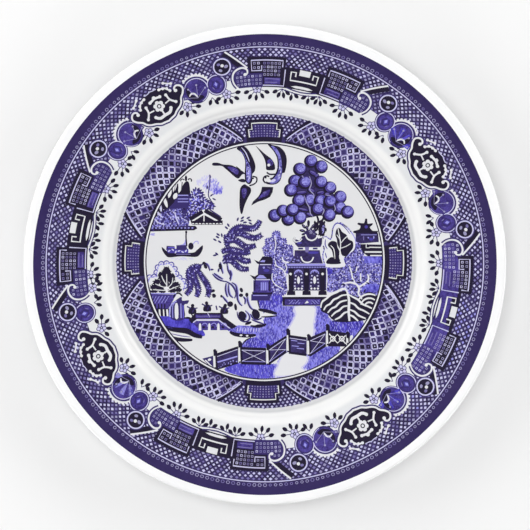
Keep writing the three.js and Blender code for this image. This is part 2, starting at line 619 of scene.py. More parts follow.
RIM_TURN = 2 * math.pi * RIM_REFERENCE
RING_STEPS = 360  # round a broad ring
LINE_STEPS = 240  # round a thin ring of the well
BEADS = 262
BEAD_RADIUS = 122.8
LATTICE_INNER = 103.6
LATTICE_OUTER = 120.3


def hoop(piece, ink, inner, outer, length, steps):
    """A whole ring of a length at its reference radius, drawn as short pieces."""
    for i in range(steps):
        start = length * i / steps
        end = length * (i + 1) / steps
        piece.fill(ink, [(start, inner), (end, inner), (end, outer), (start, outer)])


def diamond(x, y, wide, tall):
    return [(x - wide, y), (x, y + tall), (x + wide, y), (x, y - tall)]


def edge_band():
    piece = Print("edge_band", ring_place(90, RIM_REFERENCE), "navy_ink")
    hoop(piece, "band_wash", BORDER_OUTER, BAND_OUTER, RIM_TURN, RING_STEPS)
    piece.lay("edge_band_print")


def bead_chain():
    """Small pale rings on a dark ground, with a thin white line inside them."""
    piece = Print("bead_chain", ring_place(90, RIM_REFERENCE), "border_ink")
    hoop(piece, "band_wash", LATTICE_OUTER, BORDER_OUTER, RIM_TURN, RING_STEPS)
    piece.up()
    hoop(piece, "pale", 120.7, 121.3, RIM_TURN, RING_STEPS)
    for i in range(BEADS):
        along = RIM_TURN * i / BEADS
        wide = piece.between(0.62, 0.87)
        ink = piece.pick("mauve", "lilac", "lilac")
        piece.line(ink, arc(along, BEAD_RADIUS, wide, 0, 300, 5), 0.36, closed=True)
    piece.lay("rim_border_print")


def rim_lattice():
    """Rows of pale diamonds in a net of dark lines, unevenly inked, and bluest at the lower right."""
    piece = Print("rim_lattice", ring_place(90, RIM_REFERENCE), "border_ink")
    hoop(piece, "dark_wash", LATTICE_INNER, LATTICE_OUTER, RIM_TURN, RING_STEPS)
    piece.up()
    columns = 240
    rows = 11
    step = (LATTICE_OUTER - LATTICE_INNER) / rows
    for row in range(rows):
        radius = LATTICE_INNER + (row + 0.5) * step
        for column in range(columns):
            along = RIM_TURN * (column + row % 2 / 2) / columns
            turn = (90 - math.degrees(along / RIM_REFERENCE)) % 360
            faintest = "lavender" if THIN_LATTICE[0] < turn < THIN_LATTICE[1] else "mauve"
            ink = piece.pick("pale", "pale", "lilac", faintest)
            size = piece.between(0.7, 0.98)
            piece.fill(ink, diamond(along, radius, size, size * 0.9))
    piece.lay()


def medallion(number, angle):
    """A black cartouche with a scalloped white outline round a six-petalled flower."""
    piece = Print(f"medallion_{number}", ring_place(angle, RIM_REFERENCE), "border_ink", 3)
    bowl = [
        (12.6, 108.3), (12.3, 109.8), (13.8, 110.9), (15.8, 110.1), (16.8, 108), (15.6, 105.5),
        (13.5, 103.4), (12.4, 101.1), (10.5, 99.4), (7.6, 98.1), (5.1, 96.5), (2.6, 96), (0, 95.5)]
    shoulder = [(0, 115.2), (4.2, 114.8), (7.8, 113.2), (9.8, 111), (10.4, 109.2)]
    outline = curve(both_sides(bowl), 3, False)
    piece.line("navy", outline, 2.7)
    piece.up()
    piece.fill("black", both_sides(shoulder + bowl[1:]))
    piece.up()
    piece.line("white", outline, 1.05)
    piece.sweep("pale", [(-3.6, 114.6), (-1.5, 114.7), (0, 115.1), (1.5, 114.7), (3.6, 114.6)], 0.5)
    for side in (-1, 1):
        for x, y in curve([(4.8, 113.4), (6.9, 112.8), (8.8, 111.8), (9.8, 109.8)], 2, False)[::2]:
            piece.dot("white", side * x, y, 0.85, sides=8)
        curls = (
            ([(4.8, 113.4), (7.6, 112.7), (9.6, 110.2)], 0.9),
            ([(8.4, 115.5), (10.1, 114.3), (12, 113.2)], 0.8),
            ([(6.7, 108.8), (7.2, 105.6), (9.7, 102.9)], 1.1),
            ([(3.8, 104.9), (7.1, 105.4)], 0.8),
            ([(5.4, 101), (3.4, 99.3), (0, 99.4)], 1.7),
            ([(0, 110.5), (3.1, 109.8)], 1.3),
        )
        for points, width in curls:
            piece.sweep("white", [(side * x, y) for x, y in points], width)
        knobs = (
            (12.6, 108.5, 1.0), (8.4, 115.5, 0.8), (12, 113.2, 0.8), (6.6, 108.9, 0.9), (9.8, 102.8, 0.9),
            (5.4, 101.2, 1.0), (3.2, 109.8, 0.95))
        for x, y, radius in knobs:
            piece.dot("white", side * x, y, radius, sides=10)
    piece.dot("white", 0, 110.9, 1.1)
    piece.line("white", [(0, 103.4), (0, 99.6)], 1.0)
    for x, y in arc(0, 105.4, 2.1, 30, 330, 5):
        piece.dot("white", x, y, 1.25)
    piece.up()
    piece.dot("black", 0, 105.4, 1.35)
    piece.up()
    piece.dot("white", 0, 105.4, 0.75)
    piece.lay()


def shell(number, angle, mirror):
    """A rolled leaf beside a medallion, with a serrated white frill round its outside. Some leaves
    are inked bluer than others."""
    piece = Print(f"shell_{number}", ring_place(angle, RIM_REFERENCE, mirror), "border_ink", 3)
    x = 23.5
    y = 103.5
    for rib in range(3):
        piece.line("navy", [(15.6, 104.4 - 1.5 * rib), (18.4, 105.6 - 1.7 * rib)], 0.7, 0.5)
    piece.line("navy", arc(x, y, 8.0, 124, 2, 14), 3.4, 0.3)
    piece.up()
    piece.line("white", arc(x, y, 8.6, 130, 10, 16), 1.15, 0.7)
    for point in arc(x, y, 9.1, 122, 22, 8):
        piece.dot("white", *point, 0.8, sides=8)
    piece.dot("navy", x, y, 7.5, sides=28)
    piece.up()
    piece.line("pale", arc(x, y, 6.9, 150, -80, 20), 0.55, 0.4)
    piece.dot("violet_wash", x, y, 6.4, sides=24)
    piece.up()
    wash = piece.pick("violet_wash", "violet_wash", "deep_wash", "feather_wash")
    foot = (x - 0.8, y - 4.2)
    for turn in range(20, 160, 42):
        piece.fill(wash, [foot, *arc(*foot, 8.6, turn, turn + 22, 2)])
    piece.fill("black", arc(x, y, 6.2, 145, 240, 8) + arc(x + 1.5, y + 0.6, 5.3, 230, 155, 6))
    piece.patch("black", [
        (x - 5.2, y - 2.4), (x - 3.4, y - 1.4), (x - 1.4, y - 2.6), (x + 1.6, y - 3.2), (x + 3.2, y - 4.8),
        (x - 0.4, y - 6), (x - 3.6, y - 4.8)], 3)
    piece.up()
    for turn in range(34, 161, 42):
        tip = arc(*foot, 7.4, turn, turn + 10, 1)
        piece.line("lilac", [foot, tip[0]], 0.5, 0.5)
        piece.dot("lilac", *tip[0], 0.6, sides=8)
    curl = [(x - 5.2, y - 1.6), (x - 3.4, y - 0.6), (x - 1.6, y - 1.6), (x - 0.8, y - 3.6)]
    piece.sweep("white", curl, 1.0, 0.4)
    piece.lay()


def roundels(number, angle, mirror, along, gap):
    """A shaded ball, and over it a white-ringed disc with three pale dots."""
    piece = Print(f"roundels_{number}", ring_place(angle, RIM_REFERENCE, mirror), "border_ink", 3)
    y = 103.1
    piece.discs(along, y, ("navy", 6.2, 24), ("pale", 5.7, 24), ("navy", 5.15, 24))
    piece.up()
    piece.dot("violet_wash", along - 0.2, y, 4.3, sides=20)
    piece.up()
    piece.dot("navy", along - 0.3, y, 2.8, sides=6)
    piece.up()
    piece.fill("cobalt", diamond(along - 0.4, y + 0.2, 1.7, 2.1))
    piece.up()
    piece.fill("lavender", diamond(along - 0.2, y + 0.4, 0.9, 1.3))
    for tilt in (-1, 1):
        piece.leaf("mauve", along + 2.2 * tilt, y - 1.6, 2.2, 0.6, 60 * tilt)
    x = along + gap
    y = 112.2
    piece.discs(x, y, ("navy", 5.6, 24), ("pale", 4.95, 24), ("black", 4.2, 20))
    piece.up()
    piece.dot("white", x + 0.2, y + 0.6, 0.95, sides=8)
    piece.dot("lilac", x + 2.2, y - 0.2, 1.2, 0.9, 20, 8)
    piece.dot("lilac", x - 1.2, y - 1.9, 1.1, 0.8, -30, 8)
    piece.dot("mauve", x - 1.6, y + 1.6, 1.0, 0.8, 0, 8)
    piece.lay()


def cells(piece, x0, x1, r0, r1, pitch, size):
    """A fine grid of little squares, unevenly inked."""
    columns = max(round((x1 - x0) / pitch), 1)
    rows = max(round((r1 - r0) / pitch), 1)
    for i in range(columns):
        for j in range(rows):
            x = x0 + (i + 0.5) * (x1 - x0) / columns
            r = r0 + (j + 0.5) * (r1 - r0) / rows
            ink = piece.pick("lilac", "pale", "lilac", "mauve")
            piece.line(ink, arc(x, r, size, 45, 315, 3), 0.42, closed=True)


def fret(number, angle):
    """A Greek key: a U between two stepped blocks that end in spiral hooks. The one on the right is
    inked thinly on its inner side."""
    piece = Print(f"fret_{number}", ring_place(angle, RIM_REFERENCE), "border_ink", 3)
    for side in (-1, 1):
        def to(points):
            return [(side * x, r) for x, r in points]

        def strip(x0, x1):
            return sorted((side * x0, side * x1))

        hook = curve([
            (34.4, 105.4), (32.9, 106.4), (32.9, 108.4), (35, 109.7), (38, 109.3), (40.6, 107.4),
            (41.7, 104.4), (41.3, 101.4), (39.8, 99)], 4, False)
        piece.line("black", to([(44.6, 119), (33.6, 107.8)]), 2.6)
        piece.line("navy", to(hook), 2.6)
        piece.fill("black", to([
            (0, 98.2), (0, 110), (11.4, 110), (11.4, 115.5), (32.2, 115.5), (32.2, 106), (24, 106),
            (24, 98.2)]))
        piece.fill("navy", to([
            (24, 98.2), (24, 106.2), (32.5, 106.2), (34.6, 108.4), (38.6, 107.8), (41, 104.6),
            (40.6, 101.4), (38.6, 98.4)]))
        if number == THIN_FRET:
            piece.fill("violet_wash", to([
                (0, 98.6), (0, 105.6), (8.6, 105.6), (8.6, 108.2), (24.6, 108.2), (32, 106.6),
                (39.6, 105.4), (40, 101.4), (37.6, 98.8)]))
        piece.up()
        piece.line("white", to([(43.4, 120.2), (32.6, 109.4)]), 0.95)
        piece.line("white", to(hook), 1.05, 0.25)
        piece.dot("white", side * 34.2, 105.8, 0.95, sides=10)
        piece.line("pale", to([
            (13, 109.8), (13, 113.5), (30.2, 113.5), (30.2, 107.6), (24.6, 107.6), (24.6, 110.4)]), 0.7)
        piece.line("pale", to([(11.3, 108.6), (11.3, 99.2), (24, 99.2)]), 0.65)
        piece.fill("violet_wash", to([(13.6, 103.6), (23.2, 103.6), (23.2, 100), (13.6, 100)]))
        piece.line("white", to([(5, 105.2), (5, 107.7), (7.8, 107.7), (7.8, 102.9), (0, 102.9)]), 0.85)
        piece.fill("white", to([(0, 106.2), (0, 109.5), (3.1, 109.5), (3.1, 106.2)]))
        piece.fill("white", to([(0, 98.9), (0, 100.3), (4, 100.2), (6.8, 99.6), (4, 98.9)]))
        cells(piece, *strip(13.8, 24), 104.2, 112.8, 2.1, 0.72)
        cells(piece, *strip(25.2, 29.7), 108.1, 113.0, 2.1, 0.72)
        cells(piece, *strip(24.4, 40), 99.2, 105.6, 2.1, 0.68)
        cells(piece, *strip(34.6, 39.4), 105.6, 108.4, 2.0, 0.62)
        piece.up()
        piece.line("mauve", to([(14.2, 102.9), (22.6, 102.9), (22.6, 100.9), (15.4, 100.9)]), 0.5)
        piece.up(-2)
        piece.line("navy", to(curve([(0, 97), (5, 97.5), (9.5, 98.6)], 3, False)), 0.75)
        piece.line("navy", to(curve([(0, 95.6), (5.4, 96.1), (10.4, 97.2)], 3, False)), 0.5)
    piece.lay()


def flower(piece, x, y):
    """A pale flower with a dark outline."""
    for ink, radius in (("navy", 1.35), ("pale", 0.95)):
        for px, py in arc(x, y, 1.75, 18, 306, 4):
            piece.dot(ink, px, py, radius, sides=8)
        piece.up()
    piece.discs(x, y, ("navy", 0.85, 8), ("white", 0.4, 6))
    piece.up(-3)


def leaves(piece, x, y, tips):
    """Dark leaves on thin stems that all start at one point."""
    for lx, ly in tips:
        turn = math.degrees(math.atan2(ly - y, lx - x))
        piece.line("navy", [(x, y), (lx, ly)], 0.45)
        piece.leaf("black", lx, ly, 3.9, 2.3, turn)


def medallion_spray(number, angle, mirror):
    piece = Print(f"medallion_spray_{number}", ring_place(angle, RIM_REFERENCE, mirror), "border_ink", 1)
    leaves(piece, 14.6, 97, ((9.5, 95.6), (12.3, 93.3), (17.2, 92.9), (21, 94.9), (19.4, 98.2)))
    leaves(piece, 40.5, 96.2, ((34.6, 95), (38.5, 92.9), (42.3, 92), (46.2, 93.2), (47.6, 96.4)))
    leaves(piece, 31, 96.8, ((29, 94.4), (33, 93.6)))
    flower(piece, 14.6, 97)
    flower(piece, 40.5, 96.4)
    piece.lay()


def fret_spray(number, angle, mirror):
    piece = Print(f"fret_spray_{number}", ring_place(angle, RIM_REFERENCE, mirror), "border_ink", 1)
    leaves(piece, 27.6, 97.4, ((21.4, 95.4), (24.4, 93.2), (28.4, 92.3), (32.4, 93), (34.4, 95.8)))
    leaves(piece, 11.8, 97.6, ((8.2, 95.6), (10.6, 94), (13.8, 94), (16.2, 95.8)))
    leaves(piece, 5.4, 96.4, ((2.4, 94.6), (5.6, 93.2)))
    flower(piece, 27.6, 97.6)
    piece.lay()


def rim_border():
    edge_band()
    bead_chain()
    rim_lattice()
    for number, angle in enumerate(MEDALLION_ANGLES, 1):
        medallion(number, angle)
        for mirror in (-1, 1):
            label = f"{number}{'a' if mirror < 0 else 'b'}"
            if (number, mirror) == SQUEEZED_SIDE:
                roundels(label, angle, mirror, 26.5, 3.2)
            else:
                shell(label, angle, mirror)
                roundels(label, angle, mirror, 35.7, 5.4)
            medallion_spray(label, angle, mirror)
    for number, angle in enumerate(FRET_ANGLES, 1):
        fret(number, angle)
        for mirror in (-1, 1):
            fret_spray(f"{number}{'a' if mirror < 0 else 'b'}", angle, mirror)


# ------------------------------------------------------------------------------------------- well

WELL_TURN = 2 * math.pi * WELL_REFERENCE
DIAPER_INNER = 68.0
DIAPER_OUTER = 81.9
DIAPER_MARGIN = 0.6  # between the rows of squares and the dark lines
INKED_SHARE = 0.93  # of the squares' sides
DOTTED_SHARE = 0.4  # of the squares


def well_diaper():
    """Squares within squares, standing on their corners, between two dark lines."""
    piece = Print("well_diaper", ring_place(90, WELL_REFERENCE, 1, WELL_SHIFT), "border_ink")
    hoop(piece, "dark_wash", LINE_OUTER, DIAPER_OUTER, WELL_TURN, RING_STEPS)
    piece.up()
    columns = 100
    rows = 5
    step = (DIAPER_OUTER - DIAPER_INNER - 2 * DIAPER_MARGIN) / rows
    half = WELL_TURN / columns / 2
    lowest = DIAPER_INNER + DIAPER_MARGIN + step / 2
    middles = [(WELL_TURN * (column + row % 2 / 2) / columns, lowest + row * step)
               for row in range(rows) for column in range(columns)]
    for along, radius in middles:
        ink = piece.pick("pale", "pale", "lilac", "mauve")
        corners = diamond(along, radius, half * 0.84, step * 0.86)
        for start, end in zip(corners, corners[1:] + corners[:1]):
            if piece.random.random() < INKED_SHARE:
                piece.line(ink, [start, end], piece.between(0.4, 0.62))
        shade = piece.pick("black", "black", "navy", "dark_wash")
        piece.fill(shade, diamond(along, radius, half * 0.58, step * 0.58))
    piece.up()
    for along, radius in middles:
        if piece.random.random() < DOTTED_SHARE:
            size = piece.between(0.35, 0.6)
            ink = piece.pick("pale", "lilac", "mauve")
            piece.fill(ink, diamond(along, radius, size, size))
    hoop(piece, "black", LINE_OUTER, DIAPER_INNER + 0.1, WELL_TURN, LINE_STEPS)
    hoop(piece, "navy", DIAPER_OUTER - 0.55, DIAPER_OUTER, WELL_TURN, LINE_STEPS)
    piece.lay("well_border_print")


def well_key(number, angle):
    """A stepped block with a fine grid inside, between two triangles of lattice."""
    piece = Print(f"well_key_{number}", ring_place(angle, WELL_REFERENCE, 1, WELL_SHIFT), "border_ink", 4)
    low = LINE_OUTER
    high = DIAPER_OUTER
    piece.fill("dark_wash", both_sides([(0, high), (24.4, high), (13, 69), (13, low), (0, low)]))
    piece.up()
    rows = 7
    for row in range(rows):
        radius = 81.2 - 1.72 * row
        for column in range(-10, 11):
            x = (column + row % 2 / 2) * 2.35
            if abs(x) < 22.4 - row * 1.45:
                size = piece.between(0.62, 0.82)
                piece.fill(piece.pick("pale", "pale", "lilac"), diamond(x, radius, size, size))
    piece.up()
    for side in (-1, 1):
        piece.line("black", [(side * 24, high - 0.1), (side * 12.6, 69)], 1.8)
    piece.fill("black", both_sides([
        (0, 79.2), (8.6, 79.2), (8.6, 75.6), (10.8, 75.6), (10.8, low), (0, low)]))
    piece.up()
    for side in (-1, 1):
        piece.line("pale", [(side * 25.3, high - 0.2), (side * 13.8, 69.2)], 0.65)
        piece.line("white", [
            (0, 77.2), (side * 7, 77.2), (side * 7, 73.9), (side * 9, 73.9), (side * 9, 69.6)], 0.65)
    block = [
        (-6.3, 76.5), (6.3, 76.5), (6.3, 73.2), (8.3, 73.2), (8.3, 69.3), (-8.3, 69.3), (-8.3, 73.2),
        (-6.3, 73.2)]
    piece.fill("navy", block)
    piece.up()
    for row in range(5):
        for column in range(-5, 6):
            x = column * 1.65
            radius = 75.5 - 1.4 * row
            if inside(block, x, radius):
                piece.dot(piece.pick("mauve", "mauve", "lilac"), x, radius, 0.42, sides=6)
    piece.lay()


def scene_ring():
    """The white line round the scene, with a thin dark line inside it."""
    piece = Print("scene_ring", ring_place(90, WELL_REFERENCE, 1, WELL_SHIFT), "scene_ink", 14)
    hoop(piece, "white", LINE_INNER, LINE_OUTER, WELL_TURN, LINE_STEPS)
    hoop(piece, "black", LINE_INNER - 0.65, LINE_INNER, WELL_TURN, LINE_STEPS)
    piece.lay("centre_scene_print")


def well_border():
    well_diaper()
    for number, angle in enumerate(KEY_ANGLES, 1):
        well_key(number, angle)
    scene_ring()


# ------------------------------------------------------------------------------------ centre scene


def scene_print(name, level=0):
    return Print(name, scene_place, "scene_ink", level)


def swallow_left():
    """The left one of two swallows that meet over the scene."""
    piece = scene_print("swallow_left")
    wing = curve([
        (-28.8, 56.4), (-26, 56.6), (-23, 55.6), (-18.6, 55.2), (-15.2, 53.6), (-12.6, 52), (-10.8, 50.4),
        (-12.6, 50), (-14.6, 47.8), (-17, 49), (-19.4, 51.2), (-22, 53.4), (-24, 54.8), (-28.6, 55)])
    far_wing = curve([
        (-15.6, 64.4), (-12.4, 66.2), (-9.2, 63.6), (-6.8, 59.4), (-5.3, 55.2), (-5.6, 52), (-7, 50),
        (-7, 46.6), (-8.6, 44.6), (-10.6, 46), (-11.2, 50), (-10.9, 55), (-11.2, 58.6), (-13, 62.2)])
    tail = curve([
        (-11.4, 44.6), (-13.6, 42.4), (-14, 37), (-14, 32), (-13.3, 28.4), (-12.4, 28.7), (-11.2, 33),
        (-9.4, 37), (-7.7, 40.4), (-8, 42.6), (-9.8, 43.8)])
    piece.fill("black", wing)
    piece.fill("black", far_wing)
    piece.fill("black", tail)
    piece.patch("black", [(-14.8, 46.8), (-12.8, 47.6), (-11, 47.2), (-10.8, 45.8), (-13, 45.8)])
    piece.sweep("black", [(-6.9, 49), (-4.7, 48.3), (-4.6, 46.2), (-6.2, 44.6), (-8.6, 43.8)], 0.8, steps=4)
    piece.up()
    piece.patch("feather_wash", [
        (-13.6, 63.8), (-11.6, 61.4), (-10.1, 58), (-8.6, 55.6), (-7.6, 52), (-7.8, 47.6), (-9, 45.4),
        (-10.2, 47), (-10.3, 52), (-10.4, 56), (-11.2, 60), (-13.4, 63)])
    piece.sweep("pale", [(-13, 65), (-10.9, 62.6), (-9.3, 59.2), (-8.6, 57)], 0.6, 0.6)
    piece.patch("violet_wash", [(-20.6, 54.2), (-17.4, 54), (-14.6, 52.2), (-15.2, 50), (-17.6, 51.2)])
    piece.patch("violet_wash", [(-12.6, 42), (-10.4, 42.2), (-10, 39.6), (-11.6, 36.6), (-12.6, 39)])
    piece.dot("white", -6, 46.6, 1.0, 1.4)
    piece.up()
    piece.scatter("pale", -9.1, 51, 0.9, 4.4, 9, 1.3, 0.5, 60)
    piece.scatter("navy", -9.6, 53, 0.9, 5.4, 9, 1.4, 0.5, 70)
    piece.scatter("mauve", -17.2, 52.2, 1.8, 0.8, 5, 1.0, 0.4, -28)
    piece.scatter("mauve", -11.2, 40, 0.6, 1.6, 4, 1.0, 0.4, 80)
    piece.dot("black", -6.6, 47.9, 0.55)
    piece.line("black", [(-15.8, 54.4), (-13.6, 52.6)], 0.5)
    piece.lay()


def swallow_right():
    """The right swallow, beak to beak with the left one."""
    piece = scene_print("swallow_right")
    wing = curve([
        (-5.2, 66), (-2.4, 63.5), (0.4, 61), (3.2, 58.9), (5.1, 56.2), (5.6, 53.6), (5, 52.5), (2.6, 52.3),
        (0.7, 52.8), (0.5, 55.4), (-0.3, 58.6), (-2, 61.6)])
    far_wing = curve([
        (1.6, 66.6), (4.6, 66.2), (8, 65.2), (10.8, 62.4), (12, 58.4), (11.7, 54.2), (10.8, 51),
        (9.6, 50.6), (8.6, 47), (6.6, 44.9), (3.4, 44.3), (0.4, 45.2), (2.4, 47.6), (4.4, 48.6),
        (6.2, 51.4), (6.9, 55), (6.5, 59.4), (4.6, 63)])
    tail = [
        (-1.6, 43.2), (4.6, 43), (4.2, 40.2), (2.8, 37.6), (0, 36.1), (-4, 34.8), (-7.6, 32.8), (-6.6, 35),
        (-3.6, 37.8), (-2.2, 40.4)]
    piece.fill("black", wing)
    piece.fill("black", far_wing)
    piece.fill("black", tail)
    piece.sweep("black", [(0.4, 45.2), (-0.9, 46.8), (-0.4, 48.6), (1.2, 49.2), (2.4, 48.8)], 0.9, steps=4)
    piece.sweep("black", [(1, 51.2), (2.6, 50.1), (5.8, 50.1)], 0.9)
    piece.up()
    piece.patch("feather_wash", [
        (3.4, 65.8), (6.2, 64.6), (8.4, 60.6), (9.2, 56.4), (9.3, 51), (8, 47), (5.6, 45.1), (2.6, 45.4),
        (5, 48), (7.2, 51.4), (7.7, 55.4), (7.1, 60), (5, 63.4)])
    piece.dot("violet_wash", 2.9, 56.6, 1.5, 2.0, 30)
    piece.patch("violet_wash", [(2.6, 41.6), (1.6, 38.6), (-1.2, 37.4), (-3.6, 36.6), (-1, 39.8)])
    piece.up()
    piece.scatter("navy", 8.2, 55, 0.9, 6, 10, 1.4, 0.5, 80)
    piece.scatter("pale", 7.4, 50.6, 1.4, 4, 8, 1.2, 0.45, 60)
    piece.dot("white", 2.1, 55.2, 0.8)
    piece.dot("white", 2, 46.7, 1.5, 1.0, -20)
    piece.dot("pale", 4.6, 46.6, 1.4, 0.8, 20)
    piece.scatter("mauve", 0.2, 39.6, 1.8, 0.8, 5, 1.1, 0.4, 40)
    piece.sweep("black", [(2.6, 57.6), (3.8, 55.8), (3.6, 54)], 0.5)
    piece.up()
    piece.dot("black", 0.4, 48.2, 0.5)
    piece.line("white", [(0.8, 52), (5.4, 51.7)], 0.5)
    piece.lay()


FRUIT = (
    (25.2, 57.2), (30.9, 54.1), (19.1, 52.8), (16.4, 46.2), (21.7, 45.4), (30.7, 45.6), (35.7, 42.4),
    (14.1, 41.2), (18.6, 35.4), (24.3, 35.6), (30.4, 35.2), (35.7, 34.8), (41.3, 37.3), (41.2, 31.2),
    (45.4, 29), (5.3, 27.2), (9.9, 29.6), (15, 30.2), (12.7, 25.1), (19.2, 25.9), (28.9, 30.6),
    (35.3, 27.3))


def fruit_tree():
    """A tree of big round fruit, each ball shaded from a dark rim to a light upper right."""
    piece = scene_print("fruit_tree", 1)
    piece.patch("dark_wash", [
        (19, 53), (25, 56), (29, 51), (32, 44), (37, 40), (42, 34), (44, 29), (36, 27), (30, 27), (24, 26),
        (17, 25), (10, 26), (10, 29), (15, 33), (15.6, 39), (15, 44), (18, 48)])
    piece.up()
    gaps = (
        (26.4, 50.6, 2.8, 1.6, -30), (20, 39.8, 3.6, 1.3, 4), (25.4, 41, 2.4, 1.6, -20),
        (30.4, 39.6, 2.6, 1.6, 10), (20.8, 30.4, 3.6, 1.2, -12), (25.2, 30.6, 1.8, 2.6, 10),
        (28.6, 49, 1.4, 1.8, 0), (34.2, 39, 1.6, 1.1, 0), (24.6, 27.6, 2.6, 1.2, -20))
    for x, y, wide, tall, turn in gaps:
        piece.dot("black", x, y, wide, tall, turn)
    piece.up()
    for x, y, wide, tall, turn in gaps:
        piece.dot("violet_wash", x + 0.2, y + 0.2, wide * 0.78, tall * 0.62, turn)
        piece.leaf("mauve", x, y + tall * 0.35, wide * 1.3, 0.4, turn)
    for group in range(3):
        for x, y in FRUIT[group::3]:
            piece.dot("black", x, y, 3.75, sides=18)
        piece.up()
        for x, y in FRUIT[group::3]:
            piece.dot("violet_wash", x + 0.5, y + 0.5, 3.05, sides=16)
        piece.up()
        for x, y in FRUIT[group::3]:
            piece.dot("ball_wash", x + 0.8, y + 0.8, 2.35, 2.25, 30, 14)
            for _ in range(4):
                around = piece.between(0, 2 * math.pi)
                out = piece.between(0, 1.6)
                ink = piece.pick("lavender", "lavender", "cobalt")
                piece.leaf(ink, x + 0.7 + out * math.cos(around), y + 0.7 + out * math.sin(around),
                           1.3, 0.42, 60)
        piece.up()
    branches = (
        ([(24.4, 49), (25.6, 45), (24.6, 41.6), (26.8, 39), (27, 37)], 0.6),
        ([(20.4, 49.4), (21.2, 48.2)], 0.6),
        ([(21.6, 38.2), (23.2, 34), (24.6, 31.4), (25, 28.6), (26.4, 26.4)], 0.6),
        ([(31.8, 31.2), (32.6, 30), (31.6, 27.6)], 0.6),
        ([(33.2, 38.6), (36.4, 38.2)], 0.5),
        ([(38, 33.4), (38.8, 31), (38.2, 29.6)], 0.5),
    )
    piece.sweeps("lilac", branches, 0.5)
    piece.lay()
    trunk = scene_print("fruit_tree_trunk", 12)
    trunk.sweep("black", [(28.6, 27), (29.4, 24.4), (28.6, 21)], 1.2, 0.3)
    trunk.sweep("black", [(32.2, 25.6), (31.4, 23.6), (32, 20)], 1.2)
    trunk.scatter("black", 31.6, 20.2, 1.9, 3.9, 40, 2.7, 1.3, 80)
    trunk.dot("black", 24, 23.2, 0.8, 1.5)
    trunk.scatter("black", 28.2, 21.6, 1.2, 2.2, 12, 2.4, 1.2, 100)
    trunk.up()
    trunk.scatter("lavender", 32.4, 20, 1.1, 3, 8, 1.4, 0.5, 80)
    trunk.lay()


def strokes(piece, ink, points, length, width):
    """Loose brush marks, each given as (x, y, turn)."""
    for x, y, turn in points:
        piece.leaf(ink, x, y, length, width, turn)


def sprigs():
    """Small loose leaves in the air between the birds and the willow."""
    piece = scene_print("sprigs")
    strokes(piece, "navy", (
        (-15, 25.2, 70), (-12.4, 26, 40), (-12.6, 24.4, 20), (-9.2, 26, 30), (-8.4, 24.6, -20),
        (-11, 23.5, 4), (-8, 22.9, -30), (-21.2, 20.5, -40), (-20.2, 22, -60), (-25.8, 16.8, -35),
        (-26.2, 15.4, -30), (-23.8, 16.4, -80), (-25, 12.8, -35), (-27.6, 5.3, 10), (-26.6, 6.1, -40),
        (-29.4, -2.6, 0), (-25.6, -3, 80), (-27.6, 13.9, -30)), 2.5, 1.1)
    strokes(piece, "black", ((-28.6, -14.4, 10), (-28.2, -16.8, -10), (-28, -17.4, 20)), 2.4, 1.8)
    piece.lay()


def far_island():
    """The far island: palms and a tower behind a mottled shore."""
    piece = scene_print("far_island")
    shore = curve([
        (-65, 19.8), (-64, 24), (-60, 27.6), (-56, 30.6), (-50, 32), (-44, 30.6), (-41, 26), (-42, 22),
        (-38, 20.6), (-50, 19.6), (-58, 19.2)])
    hill = curve([
        (-44, 33), (-41.4, 38.6), (-38, 42.4), (-34.6, 40.4), (-33, 37), (-29, 34), (-28, 31.6),
        (-32.6, 30.6), (-36, 30), (-40, 27.4), (-44, 26)])
    piece.fill("feather_wash", shore)
    piece.fill("pale", hill)
    piece.fill("black", [
        (-64, 27), (-60, 33), (-56, 38.6), (-50, 46), (-47.8, 45), (-47.4, 38), (-50, 32), (-55, 29.6)])
    piece.up()
    piece.stipple("pale", shore, 1.7, 0.5)
    piece.stipple("blue", hill, 1.2, 0.6)
    piece.up()
    piece.stipple("navy", shore, 1.25, 0.62)
    piece.stipple("navy", hill, 1.3, 0.68)
    for x, y, turn in spaced(hill, 1.5):
        piece.leaf("navy", x, y, 2.0, 0.9, turn + 65)
    piece.patch("black", [
        (-49.4, 38.6), (-46.8, 41), (-45, 44.6), (-43.6, 46.2), (-42, 45.8), (-41.3, 42), (-41.4, 37.6),
        (-45, 37.4)])
    piece.fill("navy", [(-49, 38), (-41.4, 38), (-42.2, 31.4), (-53.6, 31), (-50, 34.8)])
    piece.fill("black", [(-64.8, 21.4), (-38.4, 21.7), (-37.2, 20.3), (-39, 19.2), (-65, 19)])
    piece.dot("black", -43.5, 47.9, 0.7, 1.7)
    piece.line("black", arc(-45.4, 46.6, 1.0, 200, 20, 5), 0.6)
    piece.line("black", arc(-41.4, 46.8, 1.0, 160, -40, 5), 0.7)
    piece.dot("black", -44.4, 30, 1.5, 1.8)
    piece.up()
    fronds = (
        (-46.6, 43.4, 7.6, 2.0, 76), (-49.6, 43.6, 7.0, 1.9, 74), (-52.4, 39.8, 5.6, 1.9, 76),
        (-49.4, 38.2, 4.0, 2.4, 66), (-54.8, 34.8, 6.6, 1.9, 108), (-57.4, 31.6, 4.6, 1.3, 96),
        (-58.6, 28.6, 4.4, 1.2, 130))
    for x, y, length, width, turn in fronds:
        piece.leaf("white" if width > 1.5 else "pale", x, y, length, width, turn)
    for y, width in ((38.6, 0.6), (36.6, 0.5), (35, 0.5)):
        piece.line("lavender", [(-48, y), (-42.2, y)], width)
    piece.sweep("pale", [(-62, 27), (-60.4, 25), (-58.6, 23.4), (-55, 22.2)], 0.7, 0.6)
    piece.sweep("pale", [(-49.8, 29.6), (-48.8, 25.8), (-47.6, 23)], 0.8, 0.6)
    for x in range(-62, -39, 2):
        piece.dot("lavender", x, 20.5, 0.55, 0.4)
    piece.up()
    piece.line("black", [(-46, 40.6), (-45.6, 46)], 0.5)
    piece.line("black", [(-50.2, 40.4), (-49.2, 46)], 0.4)
    piece.lay()


